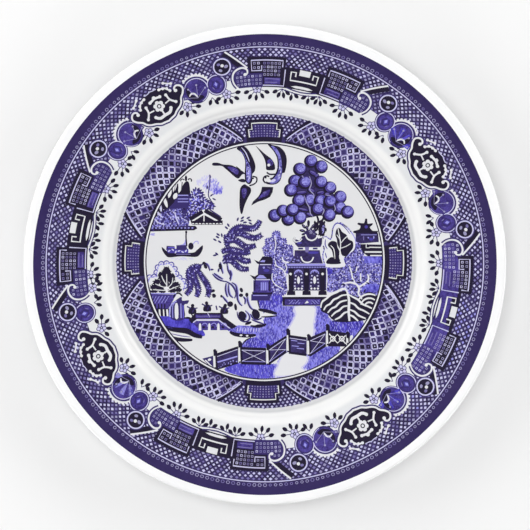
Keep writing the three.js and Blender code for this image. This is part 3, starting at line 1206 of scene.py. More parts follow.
def far_trees():
    """A feathery tree like blue smoke behind the far house."""
    piece = scene_print("far_trees", 1)
    puffs = (
        ("pale", -32, 46, 5.6, 3.4, 60),
        ("pale", -28.4, 42.8, 5.2, 3.2, 50),
        ("lavender", -29.4, 44, 4.4, 3.4, 44),
        ("lavender", -25.4, 41.4, 3.2, 2.0, 26),
        ("blue", -26.4, 40.8, 3.0, 1.8, 14),
    )
    for ink, x, y, wide, tall, count in puffs:
        piece.scatter(ink, x, y, wide, tall, count, 1.9, 0.65, 75)
        piece.up()
    strokes(piece, "navy", (
        (-31.8, 43, 88), (-30.2, 48.8, 88), (-34.4, 32, 30), (-28.8, 34, -20), (-28, 36.4, -30),
        (-31, 34.6, -40), (-29.4, 38.6, 40), (-34.2, 35.4, 30)), 2.4, 0.9)
    piece.sweep("navy", [(-30.4, 50), (-30.4, 45), (-31.2, 39), (-30, 36), (-28.6, 34)], 0.6, steps=4)
    piece.line("black", [(-41, 33.4), (-36, 33.6)], 1.0, 0.6)
    piece.lay()


def far_house():
    """The island's low house, with a black gable under white lines."""
    house = scene_print("far_house", 3)
    house.fill("white", [(-42, 24), (-34.6, 30.6), (-32.4, 30.8), (-23.4, 25), (-23.2, 22), (-41, 22.2)])
    house.up()
    house.line("black", [(-41.4, 25.2), (-34.3, 29.5)], 2.3)
    house.line("black", [(-33.2, 30.2), (-24, 24.9)], 2.3)
    house.sweep("navy", [(-31.6, 31.6), (-28.4, 29.2), (-24.2, 26.6)], 0.8, 0.4)
    house.fill("black", [(-39.4, 24.2), (-33.6, 27.8), (-27, 24.2)])
    house.fill("black", [(-41, 24.4), (-23.3, 24.6), (-23.3, 22.2), (-40.2, 22.2)])
    house.up()
    for i in range(9):
        house.line("white", arc(-39.6 + 1.9 * i, 22.4, 0.55, 10, 170, 4), 0.55)
    house.line("white", [(-33.6, 24.2), (-33.6, 28.6)], 0.6)
    house.line("white", [(-40, 24.5), (-33.6, 28.5), (-26.4, 24.5)], 0.55)
    house.lay()


def boat():
    """The covered boat and its boatman, over a few ripples."""
    piece = scene_print("boat")
    piece.scatter("pale", -46, 3.4, 6.5, 0.6, 22, 2.4, 0.3, 0)
    piece.scatter("lavender", -62.2, 17, 1.8, 0.6, 12, 1.4, 0.4, 0)
    piece.patch("black", [
        (-56.9, 10), (-55.4, 8.8), (-53.8, 7.6), (-50, 6.8), (-40, 6.8), (-37.6, 8.2), (-35.8, 9.8),
        (-34.3, 10.8), (-34.4, 8.4), (-36.2, 5.4), (-38.6, 4.4), (-46, 4.8), (-52.6, 4.2), (-54.6, 5.2),
        (-56.4, 7.8)])
    piece.fill("cobalt", [(-54.6, 9), (-42.2, 9), (-42.2, 6.4), (-53.4, 6.6)])
    piece.fill("navy", [(-54.2, 10.6), (-49.8, 10.4), (-49.6, 8.6), (-54.4, 8.6)])
    piece.fill("navy", [(-48.8, 11), (-43.2, 11), (-42.8, 8.2), (-48.8, 8.4)])
    piece.dot("black", -40.8, 10.4, 1.5, 2.0)
    piece.sweep("black", [(-43.4, 18.4), (-43.5, 15), (-43.1, 10.4)], 0.8)
    piece.dot("black", -43.4, 18.2, 0.6, 0.8)
    piece.patch("lavender", [(-44, 14.4), (-44.6, 12), (-47.8, 10.7), (-43.8, 10.8)], 3)
    piece.sweep("lavender", [(-39.6, 11.4), (-38.6, 12.8), (-37, 13), (-36.8, 11.6)], 0.5)
    piece.up()
    strokes(piece, "pale", (
        (-52.8, 7.8, 30), (-50.8, 8.4, -40), (-49.2, 7.2, 60), (-47.4, 7.8, 20), (-45.4, 7.2, -30),
        (-43.6, 7.8, 50)), 1.8, 0.8)
    piece.dot("white", -40.8, 7.9, 1.4, 0.6)
    piece.line("mauve", [(-49, 5.9), (-41, 5.9)], 0.4)
    piece.line("blue", [(-53.4, 9.6), (-49.6, 9.6)], 0.5)
    piece.lay()


def far_pagoda():
    """The small pagoda on its striped terraces, against the ring on the right."""
    piece = scene_print("far_pagoda", 5)
    piece.patch("black", [
        (55.2, 25.2), (56.4, 25.2), (56.6, 22.6), (59.4, 22.9), (59, 21.6), (57.8, 20.6), (59.4, 18.6),
        (62.3, 18.6), (61.6, 17.2), (59.6, 17.2), (52, 17), (48.8, 17.6), (49, 18.6), (52, 19.4),
        (52.6, 21.4), (51, 22.2), (51.6, 23.2), (54.6, 22.8)], 2)
    piece.fill("dark_wash", [(50, 17.4), (62.4, 17.4), (62.8, 12.4), (53, 11.6), (50, 12.8)])
    piece.fill("black", [(52.6, 11.2), (65.6, 11.6), (65.6, 4.2), (57.5, 4), (54, 6.6), (53, 9)])
    piece.fill("blue_wash", [(54.4, 4.6), (65.6, 4.4), (65.6, 0.6), (55, 0.6)])
    piece.up()
    for x0, y, width in ((56.6, 11.5, 0.8), (57.6, 9.5, 0.6), (55, 6.9, 0.9), (58, 4.9, 0.7)):
        piece.line("white", [(x0, y), (65.6, y)], width)
    piece.line("white", [(55.8, 11.6), (55.8, 9.2), (57.6, 9.2)], 0.5)
    piece.dot("lavender", 57, 14.8, 0.45)
    piece.dot("lavender", 60, 15, 0.4, 0.8)
    piece.line("lavender", [(53, 16.4), (61.6, 16.4)], 0.35)
    piece.line("mauve", [(54.4, 15.6), (54.4, 13.4)], 0.5)
    piece.dot("cobalt", 55.8, 20.8, 0.9)
    piece.dot("cobalt", 58.6, 14, 1.2, 0.8)
    piece.lay()


def rocks():
    """Two big veined leaves on a low rock, left of the far pagoda."""
    piece = scene_print("rock_leaves", 5)
    halo = [
        (40.2, 23), (37.9, 20.4), (37.2, 15.8), (36, 13.6), (33, 15.4), (31.8, 12.4), (33, 8.8), (32.2, 5),
        (33, 1), (34, -1.4), (44, -1.2), (43.4, 3.4), (46.4, 5.8), (49.4, 8.6), (49.6, 13.6), (46.8, 18.4),
        (43.2, 21.8)]
    for x, y, turn in spaced(curve(halo, 3), 0.8):
        ink = piece.pick("lavender", "lavender", "cobalt", "navy")
        piece.leaf(ink, x, y, 2.0, 0.8, turn + 60)
    piece.up()
    piece.patch("white", halo, 3)
    piece.up()
    tall_leaf = [
        (39.6, 19.8), (41.2, 20.2), (42.6, 18), (45, 16.4), (46, 14), (48.4, 12.6), (48.6, 9.4), (47, 7),
        (45, 4.6), (42.4, 5.2), (41.6, 8), (40, 11), (39.6, 14), (38.8, 16.4)]
    low_leaf = [
        (34.6, 10.8), (36.6, 13), (39.4, 12.4), (40, 9.6), (41.4, 6.4), (41.4, 2), (39, 1.4), (37.6, 4.6),
        (36.8, 8)]
    piece.patch("black", tall_leaf, 3)
    piece.patch("black", low_leaf, 3)
    piece.patch("black", [(34.4, 2.6), (37, 4.2), (40.6, 2.4), (41.6, 0.4), (34.2, 0.4)], 3)
    edges = (
        ([(37.4, 19.4), (38.4, 22), (40.6, 22.9), (43.6, 21), (46.8, 17)], 0.6),
        ([(33.4, 14), (33.2, 11), (34.4, 8.6)], 0.6),
        ([(33.2, 6.6), (34, 3.6)], 0.6),
    )
    piece.sweeps("cobalt", edges, 0.5)
    piece.up()
    veins = (
        ([(40.2, 20.2), (41.2, 15), (41.7, 11), (41.2, 6)], 0.6),
        ([(41.3, 14), (39.6, 16.6)], 0.45),
        ([(41.6, 11.6), (44, 14.4), (45.4, 15.6)], 0.5),
        ([(41.6, 9), (44.6, 10), (47.2, 11.6)], 0.5),
        ([(36.2, 10.6), (38, 8.4), (38.6, 3.2)], 0.5),
        ([(41.6, 6.6), (41.4, 3.6), (43.4, -0.6)], 0.9),
    )
    piece.sweeps("white", veins, 0.3)
    piece.line("white", [(33, -0.6), (43.6, -0.6)], 1.2)
    piece.lay()


def mottle(piece, outline, pale_pitch, pale_radius, navy_pitch):
    """Foliage seen from afar: a cloudy wash under pale dots under dark ones."""
    piece.fill("feather_wash", outline)
    piece.up()
    piece.stipple("pale", outline, pale_pitch, pale_radius)
    piece.up()
    piece.stipple("navy", outline, navy_pitch, 0.52)


def grove():
    """The mottled wood on the right, with pale paths through it."""
    piece = scene_print("grove")
    outline = curve([
        (33.6, -1), (43.4, -1.4), (42.6, 3.6), (45.4, 6.4), (49.6, 9), (50.2, 13.4), (52.8, 11.6),
        (54.4, 7), (56, 2.4), (66, 2.6), (66.4, -6), (65, -13), (61.6, -17), (56, -18), (48, -19),
        (44, -16), (37.4, -15.4), (33.8, -14)], 3)
    mottle(piece, outline, 1.7, 0.5, 1.35)
    piece.dot("blue_wash", 58.6, -13.4, 5.4, 2.6, 8)
    piece.dot("deep_wash", 35.6, -3.4, 1.8, 2.2)
    piece.dot("blue_wash", 60.6, 2, 5, 0.9)
    piece.up()
    paths = (
        ([(46.6, -1), (47.6, -4), (48.4, -7.6), (49.8, -10)], 0.8),
        ([(43.4, -10.6), (47, -10), (50.4, -11), (51.9, -13.4), (51.6, -16.4), (53.4, -18.6)], 1.1),
        ([(56.6, -5.4), (57.2, -7.6), (56.4, -9.6), (54, -11.2), (52.2, -12.4)], 1.0),
        ([(50.8, -1.2), (50.2, -4)], 0.7),
        ([(52.8, -5), (52.8, -9.4)], 0.8),
        ([(33.9, -2), (34.2, -8), (33.8, -14)], 0.6),
        ([(35.6, -16.2), (39, -15.2), (42.8, -13.4), (44.8, -14.2), (45.6, -17)], 1.0),
        ([(57, 0.9), (65, 1)], 0.5),
    )
    piece.sweeps("white", paths, 0.3)
    strokes(piece, "black", (
        (49, -4.2, 20), (51.8, -10, 0), (48, -9, 10), (56.8, -10.4, -20), (51.6, -18.4, 20), (43, -11, 10),
        (55, -14.6, 60), (49.6, -14, 80)), 2.4, 0.8)
    piece.lay()


def striped_mounds():
    """Two mounds ploughed in bold black and white."""
    piece = scene_print("striped_mounds", 6)
    piece.patch("black", [
        (31, -25.6), (31.6, -21), (36, -17.6), (43, -14.6), (46, -16), (51, -18), (56, -21), (60, -23),
        (60.4, -28), (55, -31), (46, -31.6), (38, -31), (34.6, -27.6)], 3)
    piece.patch("black", [
        (54, -21), (54, -17), (57.6, -15.2), (61.4, -17), (62.6, -20), (61, -23.4), (57, -23.8)], 3)
    piece.up()
    stripes = (
        [(45, -13.4), (42, -14.1), (39.6, -15.4), (36.6, -16.6), (34, -18.8), (31.4, -21), (30.8, -24)],
        [(45.2, -16.8), (42.4, -17.2), (40, -18.6), (37.8, -19.6), (36, -21.8), (33.8, -23), (32.4, -25.4)],
        [(45.4, -19.8), (42.6, -20.4), (40.8, -21.4), (39, -23.4), (36.8, -24.4), (34.6, -26.8)],
        [(45.6, -23), (43.2, -23.4), (41, -25.4), (38.8, -26.6), (36.6, -28.8)],
        [(45.8, -26.2), (43.6, -27), (41.4, -29.2), (38.6, -30.6)],
        [(46, -16.6), (48.8, -18.2), (51.4, -19.6), (53.8, -22), (57, -23.4), (60, -25)],
        [(46.4, -21), (49.4, -22.2), (51.6, -24.4), (54.4, -25.6), (57.8, -27.6)],
        [(46.6, -25), (49.4, -26.2), (51.8, -28.4), (55.6, -30)],
        [(46.6, -28), (48.8, -29), (51.4, -31.4)],
    )
    for points in stripes:
        piece.sweep("white", points, 1.1, 0.4)
    piece.sweep("white", [(45.4, -15.4), (46.4, -20), (46.2, -26), (46.6, -31.4)], 1.4, 0.3)
    for radius, start, end in ((2.6, 170, 40), (4.9, 165, 52), (7.2, 150, 62)):
        piece.line("white", arc(57.6, -23.6, radius, start, end, 8), 1.0, 0.3)
    piece.lay()


def feather_tree():
    """The tall mottled tree between the willow and the tea house."""
    piece = scene_print("feather_tree", 1)
    outline = [
        (4.4, 17.6), (6.2, 18.6), (8.1, 18), (8.5, 14.4), (11.6, 14.2), (11.6, 10.8), (15, 10.4),
        (15.2, 5.4), (16.2, 3), (13.6, 1.8), (12.6, -3), (13, -9), (12.6, -15), (9.6, -17), (3.6, -16),
        (3.6, -8), (4.2, -2), (3.6, 4.4), (0, 5), (-1.2, 9.4), (0.4, 10.4), (0.4, 14.2), (4, 14.8)]
    mottle(piece, outline, 1.4, 0.48, 1.45)
    for x, y, turn in spaced(outline + outline[:1], 1.1):
        piece.leaf("cobalt", x, y, 1.6, 0.8, turn + 60)
    piece.up()
    gaps = (
        ([(9.4, 4.4), (10.4, 2), (13.4, 1.2), (15.6, 3.2)], 0.8),
        ([(5.6, 2.4), (6.4, -0.6), (9.6, -2.4), (11.6, -6), (12.4, -12)], 0.6),
        ([(4.2, -4.6), (4, -8.6), (6.6, -11.6), (10.4, -13.6)], 0.5),
        ([(11, 1), (12, -2), (10.6, -4.6)], 0.5),
        ([(5.2, 16), (6, 11), (5, 7)], 0.5),
    )
    piece.sweeps("white", gaps, 0.3)
    piece.lay()


def tower():
    """The narrow two-storey tower at the water's edge."""
    piece = scene_print("tower", 7)
    piece.fill("black", [
        (-6, 2.8), (-3.4, 1.7), (-2.4, 3), (-1.4, 4.6), (3.6, 4.4), (4.4, 2.4), (4.2, 0.4), (-3.2, 0.2),
        (-4.4, 0.8)])
    piece.fill("navy", [(-3.4, 0.2), (4, 0.4), (3.8, -5), (-4, -5.2), (-3.8, -2)])
    piece.fill("black", [
        (-8.4, -5.6), (-5.6, -6.5), (-3.4, -5), (3.4, -5), (3.6, -8.4), (-5.6, -8.6), (-6.6, -7.6)])
    piece.fill("violet_wash", [(-6.4, -8.6), (3.6, -8.4), (3.4, -15.4), (-6.4, -15.4)])
    piece.fill("black", [(-7, -15), (4, -15), (4, -16.4), (-7, -16.4)])
    piece.fill("navy", [(-7.6, -16.4), (3.6, -16.4), (2.4, -19.9), (-7.6, -19.9)])
    piece.up()
    piece.fill("lavender", [(-3, 1.6), (-1.4, 2.6), (0.2, 2.4), (-0.2, 1.4)])
    piece.line("pale", [(-2.8, 0.1), (3.4, 0.1)], 0.5)
    piece.fill("lavender", [(-5, -7.6), (-3, -5.6), (-1, -5.8), (1, -7.6)])
    piece.line("pale", [(-5, -8.3), (2.8, -8.3)], 0.5)
    piece.fill("lavender", [(-2.6, -9.8), (1.4, -9.8), (1.4, -14.2), (-2.6, -14.2)])
    piece.line("lavender", [(-6.6, -17), (1.4, -17)], 0.5)
    piece.dot("lavender", -0.6, -1.6, 0.6)
    piece.line("mauve", [(1.4, -1.2), (3, -2)], 0.5)
    piece.dot("cobalt", 0.8, -3.2, 1.6, 0.8)
    piece.line("black", [(-5.6, -8.8), (-5.6, -14.4)], 0.7)
    piece.line("black", [(2.6, -8.8), (2.6, -14.8)], 0.7)
    piece.up()
    piece.hatch("cobalt", [(-2.6, -9.8), (1.4, -9.8), (1.4, -14.2), (-2.6, -14.2)], 90, 1.05, 0.4)
    piece.lay()


def tea_house_roofs():
    """The tea house's two upturned roofs, crowned with leaves."""
    piece = scene_print("tea_house_roofs", 8)
    piece.patch("white", [
        (16, 15.6), (19.6, 14.6), (19.8, 20), (24, 24), (29, 21), (29, 16), (31.8, 14.6), (31.6, 9.6),
        (17.2, 9.6)], 2)
    piece.up()
    leaves_up = (
        (24, 22.6, 3.8, 1.5, 90), (21.4, 21.2, 3.4, 1.6, 132), (26.6, 21.4, 3.4, 1.5, 48),
        (20.6, 18.8, 3.6, 1.7, 170), (23.2, 20.2, 3.2, 1.6, 104), (27.6, 19, 3.4, 1.6, 12),
        (25.4, 19.8, 3.0, 1.5, 60), (21.6, 17, 3.4, 1.5, 200), (27.8, 17, 2.8, 1.4, -20))
    for x, y, length, width, turn in leaves_up:
        piece.leaf("black", x, y, length, width, turn)
        piece.leaf("mauve", x, y + 0.2, length * 0.5, width * 0.25, turn)
    piece.dot("dark_wash", 24.8, 17.2, 3.4, 2.2)
    piece.scatter("lilac", 24.8, 17.6, 2.6, 1.6, 8, 1.2, 0.45, 90)
    piece.fill("dark_wash", [
        (16.6, 11.4), (16.8, 14.2), (19, 13.2), (20.4, 15.6), (22.6, 16.4), (25, 16), (28, 16.4),
        (29.4, 14.4), (31.6, 15), (31.4, 11.4), (30.6, 9.7), (18.2, 9.7)])
    piece.sweep("black", [(16.6, 15.2), (15.8, 13.8), (16.8, 12.4), (19, 12.4)], 0.9)
    piece.fill("white", [(17, 9.7), (30.6, 9.7), (30.4, 8), (16.8, 8)])
    piece.fill("dark_wash", [
        (16.4, 8), (30.2, 8), (30.6, 5.4), (31.9, 0.6), (12.6, 0.6), (14.6, 2.6), (16.2, 5)])
    piece.fill("lavender", [(12.4, 0.5), (33.4, 0.5), (33.4, -1.8), (12.4, -1.8)])
    piece.up()
    piece.sweep("white", [(22.2, 16.8), (23.4, 14.4), (25.7, 13.4), (28, 14.4), (29, 16.4)], 0.8, steps=4)
    piece.sweep("white", [(16.6, 15.2), (15.8, 13.8), (16.8, 12.6), (19, 12.8), (20.4, 14.4)], 0.6, steps=4)
    for x in (18.4, 26.4):
        piece.fill("navy", [(x, 9.4), (x + 2.6, 9.4), (x + 2.6, 8.4), (x, 8.4)])
    piece.fill("mauve", [(22, 9.8), (24.4, 9.8), (24, 6.8), (22.4, 6.8)])
    piece.dot("cobalt", 26.6, 6.6, 3.0, 0.7)
    piece.dot("cobalt", 19, 12, 1.4, 0.6)
    piece.sweep("white", [(19.8, 4.4), (21, 2), (23.4, 1.2), (25.6, 2), (26.8, 4.2)], 0.75, steps=4)
    piece.stipple("lavender", [(14.2, 2.8), (18.6, 4.6), (20, 1.2), (13.4, 1)], 1.2, 0.4)
    piece.line("navy", [(12.4, -0.9), (33.4, -0.9)], 0.5)
    piece.up()
    piece.hatch("navy", [(12.4, -1), (33.4, -1), (33.4, -1.8), (12.4, -1.8)], 90, 0.9, 0.4)
    piece.lay()


def tea_house():
    """The colonnade under the roofs, on its plinth."""
    piece = scene_print("tea_house", 6)
    piece.fill("dark_wash", [(12.8, -1.8), (33.8, -1.8), (33.8, -14.6), (12.8, -14.6)])
    piece.fill("white", [(12.2, -14.4), (34.2, -14.4), (34.2, -18), (11.4, -18)])
    piece.fill("black", [(9.6, -17.9), (34.4, -17.9), (31.4, -20), (31, -22.8), (9.8, -22.8)])
    piece.up()
    for x in (14.4, 22.9, 31.7):
        piece.fill("black", [(x - 1.5, -2.2), (x + 1.5, -2.2), (x + 1.3, -14.6), (x - 1.3, -14.6)])
        piece.fill("black", [(x - 2.1, -14.6), (x + 2.2, -14.6), (x + 2.4, -16.9), (x - 2.3, -16.9)])
    piece.line("white", [(12.6, -5), (12.8, -14)], 0.9)
    piece.fill("violet_wash", [(11, -19.2), (30.6, -19.2), (30.4, -22.2), (11, -22.2)])
    for x in (18.5, 27.4):
        piece.line("lavender", arc(x, -5.2, 2.2, 0, 180, 6), 0.6)
        piece.line("lavender", arc(x, -4.4, 1.0, 0, 180, 4), 0.5)
        for tilt in (-1, 1):
            for step in range(4):
                piece.dot("pale", x + tilt * (1.5 + 0.2 * step), -6.2 - 1.9 * step, 0.55, 0.45, 0, 6)
        for i in range(3):
            piece.dot("white", x - 1.8 + 1.8 * i, -13.3, 0.6, sides=8)
    piece.up()
    for x in (14.1, 22.9, 31.8):
        piece.dot("white", x, -5.2, 0.75)
    for x in (18.5, 27.4):
        piece.leaf("white", x, -8.6, 4.6, 1.7, 90)
    for x in (15, 18.2):
        square = [(x - 1.8, -19.8), (x + 1.2, -19.8), (x + 1.2, -21.8), (x - 1.8, -21.8)]
        piece.hatch("lavender", square, 45, 1.3, 0.3)
    piece.hatch("lavender", [(25.6, -19.8), (30, -19.8), (29.8, -21.8), (25.6, -21.8)], 135, 1.2, 0.3)
    piece.fill("white", [(21.8, -21.6), (23.2, -20), (24.2, -21), (23.4, -21.4)])
    piece.lay()


def frond(piece, points, width):
    """A willow frond: a dark band fringed with small leaves, with a speckled lighter middle."""
    path = curve(points, 6, False)
    piece.line("navy", path, width * 1.06, 0.3)
    marks = spaced(path, 0.95)
    for i, (x, y, turn) in enumerate(marks):
        share = 2 * i / (len(marks) - 1) - 1
        side = width / 2 * (1 - 0.35 * share * share)
        nx = -math.sin(math.radians(turn))
        ny = math.cos(math.radians(turn))
        for sign in (-1, 1):
            piece.leaf("navy", x + sign * nx * side, y + sign * ny * side, 1.8, 0.7, turn + sign * 52)
    piece.up()
    piece.line("violet_wash", path, width * 0.4, 0.5)
    piece.up()
    for x, y, turn in spaced(path, 0.85):
        offset = piece.between(-0.3, 0.3) * width
        spin = math.radians(turn)
        ink = piece.pick("lavender", "pale", "black", "black")
        piece.leaf(ink, x - offset * math.sin(spin), y + offset * math.cos(spin), 1.0, 0.5, turn + 50)
    piece.up(-2)


def willow_fronds():
    """The willow's hanging branches, each given as its path and width."""
    piece = scene_print("willow_fronds", 2)
    fronds = (
        ([(-20, 13.4), (-18.6, 18), (-14, 20.8), (-8.4, 20), (-4.8, 21), (-2.6, 24.6)], 3.0),
        ([(-19.6, 15), (-14.4, 17.6), (-9.6, 15.8), (-5.4, 14.7), (-1.8, 16.6)], 2.8),
        ([(-21.4, 12.4), (-16.6, 13.8), (-13, 11.4), (-9.6, 9.6), (-5, 10.8)], 2.8),
        ([(-21.6, 17), (-21, 12), (-20.4, 10)], 2.4),
        ([(-24, 7), (-20.4, 8.4), (-15, 7.6), (-11.4, 6.6), (-8, 7.2)], 3.0),
        ([(-23, 3.6), (-17.6, 5.4), (-13.4, 3.2), (-10.6, 1.9), (-7.8, 2.4)], 3.0),
        ([(-23.4, 1.6), (-18.6, 2.4), (-15.4, -0.6), (-12.4, -2.4), (-8.8, -2.2)], 2.7),
        ([(-35, -1), (-39, -1), (-42, -4), (-41.4, -9), (-41, -13), (-43.6, -16.6)], 2.8),
        ([(-38, -1.4), (-39.4, -5), (-38, -9.4), (-36.6, -14), (-37.8, -17.8)], 2.8),
        ([(-37.6, -2), (-34.6, -6.8), (-32, -10.6), (-30.8, -14.4), (-31.8, -17.8)], 2.7),
    )
    for points, width in fronds:
        frond(piece, points, width)
    piece.lay()


def willow_trunk():
    """The hollow, twisted trunk, drawn in outline on the white."""
    piece = scene_print("willow_trunk", 1)
    outlines = (
        [(-36, -0.8), (-33.6, 0.9), (-31.6, -0.2), (-30.4, -3.4)],
        [(-29, -5), (-27, -7.2), (-24.6, -8.6), (-21.6, -9.4)],
        [(-28.2, -4.6), (-25.6, -6.6), (-23.2, -8)],
        [(-24.8, 1.6), (-24.2, -1.6), (-23.2, -5)],
        [(-21, 1), (-20.4, -3), (-19, -6), (-19.2, -9)],
        [(-19.4, -2.8), (-18.6, -5.4), (-19.6, -8)],
        [(-21.9, -9), (-20.2, -10), (-18.4, -11.2), (-16.8, -13.4), (-16, -16), (-16.8, -18.6)],
        [(-21.4, -10), (-21.8, -13), (-21.4, -16), (-20.6, -18)],
        [(-20.2, -10.6), (-20.2, -14), (-19.4, -16.8), (-17.6, -18.4)],
        [(-18.4, -9.8), (-16.2, -11.4), (-15.4, -15), (-15.2, -19), (-14, -21.6), (-12.6, -22.8)],
        [(-12, -17.6), (-10.9, -19.4), (-11.2, -22)],
        [(-10, -16.8), (-9.6, -20), (-8.8, -22.6), (-7.2, -24.6), (-5, -25)],
        [(-23.8, -17.2), (-22, -19.4), (-20.4, -21.4)],
        [(-15.4, -26), (-14.8, -29), (-13, -31), (-10.6, -31.6), (-8.8, -30.4), (-8.9, -27.8),
         (-11, -25.4)],
        [(-8, -27.2), (-6.6, -29.6), (-3.8, -30.4), (-1.8, -29.4)],
        [(-7.4, -30.4), (-4, -31.8), (-0.6, -33)],
    )
    for points in outlines:
        piece.sweep("lavender", [(x + 0.6, y + 0.1) for x, y in points], 0.6, 0.8, steps=4)
    piece.up()
    for points in outlines:
        piece.sweep("navy", points, 0.95, 0.5, steps=4)
    knots = (
        (-33.6, 0.9, 1.0, 0.9, 0), (-32.8, -0.9, 0.9, 1.4, 30), (-24.6, -0.8, 1.0, 1.8, 8),
        (-13, -14, 0.9, 1.4, 20), (-13.2, -16.9, 1.2, 1.0, 0), (-10, -16.6, 0.9, 1.2, 0),
        (-19.2, -21.8, 1.7, 1.6, 20), (-16.2, -23.4, 0.8, 2.0, 8), (-24, -17.4, 0.7, 0.8, 0),
        (-22.6, -23.6, 0.6, 1.2, 0), (-12.4, -28.4, 2.2, 2.9, 28), (-5, -27.4, 2.2, 2.9, 24),
        (-3.2, -33.8, 2.6, 0.8, 6), (-9.2, -32.4, 2.0, 0.8, 20))
    for x, y, wide, tall, turn in knots:
        piece.dot("black", x, y, wide, tall, turn, 10)
    for x, y, wide, tall in ((-20, -14.2, 1.0, 4.4), (-17.4, -14.4, 0.5, 3.8), (-22.6, -19.4, 0.5, 1.8)):
        piece.line("lavender", [(x - 0.4, y + tall / 2), (x + 0.5, y - tall / 2)], wide * 0.5, 0.8)
    piece.up()
    piece.sweep("lavender", [(-10.6, -26.8), (-9.9, -28.4), (-10.6, -30)], 0.5)
    piece.lay()


def bush():
    """The leafy bush over the gate house, on the left."""
    piece = scene_print("bush", 1)
    cloud = curve([
        (-65, -11), (-63.4, -6.6), (-60.4, -6.4), (-59.4, -2.6), (-58.2, 0.2), (-55.6, 0.4), (-53.2, 1),
        (-51, -0.6), (-49.2, -3.4), (-48.6, -6), (-45.6, -8.2), (-44.2, -11), (-45.2, -14)], 3, False)
    for x, y, turn in spaced(cloud, 1.5):
        piece.leaf("lavender", x, y, 1.7, 0.9, turn + 35)
    piece.up()
    for x, y, turn in spaced(cloud, 2.9):
        piece.line("cobalt", arc(x, y, 1.5, turn - 20, turn + 190, 7), 0.65, 0.5)
    piece.up()
    lobes = (
        (-54.3, -4.9, 2.5, 4.0, 0), (-57.2, -6.4, 1.6, 2.6, 14), (-51.4, -7.4, 1.8, 2.7, -14),
        (-59.7, -9.6, 2.0, 1.6, 40), (-61.4, -12.2, 1.8, 1.3, 20), (-58, -12.7, 2.1, 1.5, -20),
        (-56.4, -10.6, 1.3, 1.9, 20), (-48.9, -11.2, 2.1, 1.7, -30), (-51.8, -11.2, 1.5, 1.8, -30),
        (-51, -14.2, 2.2, 1.1, 0), (-47.6, -13.8, 1.4, 1.1, 0), (-56.6, -14.6, 1.6, 0.8, 0),
        (-61.2, -14.6, 1.8, 0.7, 0), (-54.2, -9.6, 1.2, 2.2, 0))
    for x, y, wide, tall, turn in lobes:
        piece.dot("black", x, y, wide, tall, turn)
        for px, py in arc(x, y, wide, 20, 340, 7, tall / wide):
            piece.leaf("black", px, py, 1.3, 0.6, piece.between(0, 180))
    piece.up()
    veins = (
        [(-54, -15.4), (-54.1, -10.4), (-54.2, -5)], [(-54, -12.9), (-57.1, -11.8), (-60.6, -10.4)],
        [(-54, -11.4), (-56, -8.4), (-57, -5.8)], [(-54, -12.8), (-51.4, -10.4), (-50.8, -7)],
        [(-54, -14.4), (-50.6, -12.8), (-47.6, -11.6)], [(-54.2, -14.2), (-58, -13.9), (-61.8, -13.6)],
    )
    for points in veins:
        piece.sweep("white", points, 0.5, 0.4)
    piece.lay()


def gate_house():
    """The gate on the near shore, with its arched door, and the bank below it."""
    piece = scene_print("gate_house", 2)
    piece.fill("violet_wash", [(-64.8, -16.4), (-48.8, -16.4), (-50.8, -20), (-53.4, -24.6), (-62, -24.8)])
    piece.fill("black", [(-61, -24.2), (-52.6, -24.2), (-52.8, -29), (-59.8, -29)])
    piece.patch("deep_wash", [
        (-59.8, -28.8), (-54, -28.4), (-48, -29.8), (-42, -30), (-38.4, -32.2), (-35, -35.4), (-33, -38.4),
        (-34, -39.6), (-37.4, -38.6), (-41.6, -35.6), (-47, -34.8), (-53, -34.8), (-58, -31.4)], 3)
    piece.patch("navy", [
        (-51.6, -30), (-51.6, -22), (-49.4, -19.8), (-46, -17.6), (-45.6, -19.8), (-42, -19.6),
        (-42.8, -21.6), (-44.6, -22.4), (-44.4, -30)], 3)
    piece.sweep("black", [(-44.6, -30), (-42, -29.6), (-38.6, -32)], 1.6)
    piece.line("black", arc(-48, -17.8, 2.2, 190, -10, 8), 0.9)
    bank_lines = (
        ([(-57, -34.6), (-50, -36), (-43, -37), (-38.6, -39.2), (-34.6, -40.2)], 2.6),
        ([(-54, -38.8), (-50, -40.8), (-45, -41.6), (-40, -41.6)], 2.2),
        ([(-50.4, -42.6), (-47.8, -44.4), (-46.2, -45.8)], 1.6),
    )
    piece.sweeps("black", bank_lines, 0.5, 4)
    piece.sweep("mauve", [(-52, -38), (-46, -39.4), (-41, -40)], 0.6, 0.5)
    piece.up()
    piece.hatch("lavender", [(-64, -17.2), (-52.4, -17.2), (-54.4, -21), (-62.8, -21)], 58, 1.5, 0.3)
    piece.hatch("black", [(-63, -21.6), (-54.4, -21.6), (-55, -24.2), (-62, -24.2)], 90, 1.7, 0.7)
    piece.patch("white", [(-49.6, -29.4), (-49.7, -22.6), (-48.8, -21), (-47.9, -22.6), (-47.8, -29.4)], 2)
    piece.sweep("lavender", [(-52.6, -28.6), (-52.4, -24), (-51, -21.4), (-48.8, -20)], 0.7)
    piece.sweep("lavender", [(-50.8, -29.4), (-50.9, -23), (-49.8, -21)], 0.45)
    piece.sweep("white", [(-50, -18.8), (-48.2, -17), (-45.8, -17.6), (-45.2, -19)], 0.6)
    piece.line("lavender", [(-46.4, -21.4), (-46.2, -29.4)], 0.6)
    piece.line("blue", [(-45.2, -22.4), (-45, -29.6)], 0.5)
    for x, width in ((-58.2, 0.9), (-56, 0.7), (-54, 1.0)):
        piece.line("white", [(x, -24.6), (x + 0.3, -28.4)], width)
    piece.line("lavender", [(-64, -15.9), (-49, -15.9)], 0.6)
    piece.sweep("black", [(-57, -33.4), (-50, -34.8), (-43, -35.4), (-38.4, -38), (-34.4, -39.4)], 0.7, 0.5)
    piece.lay()


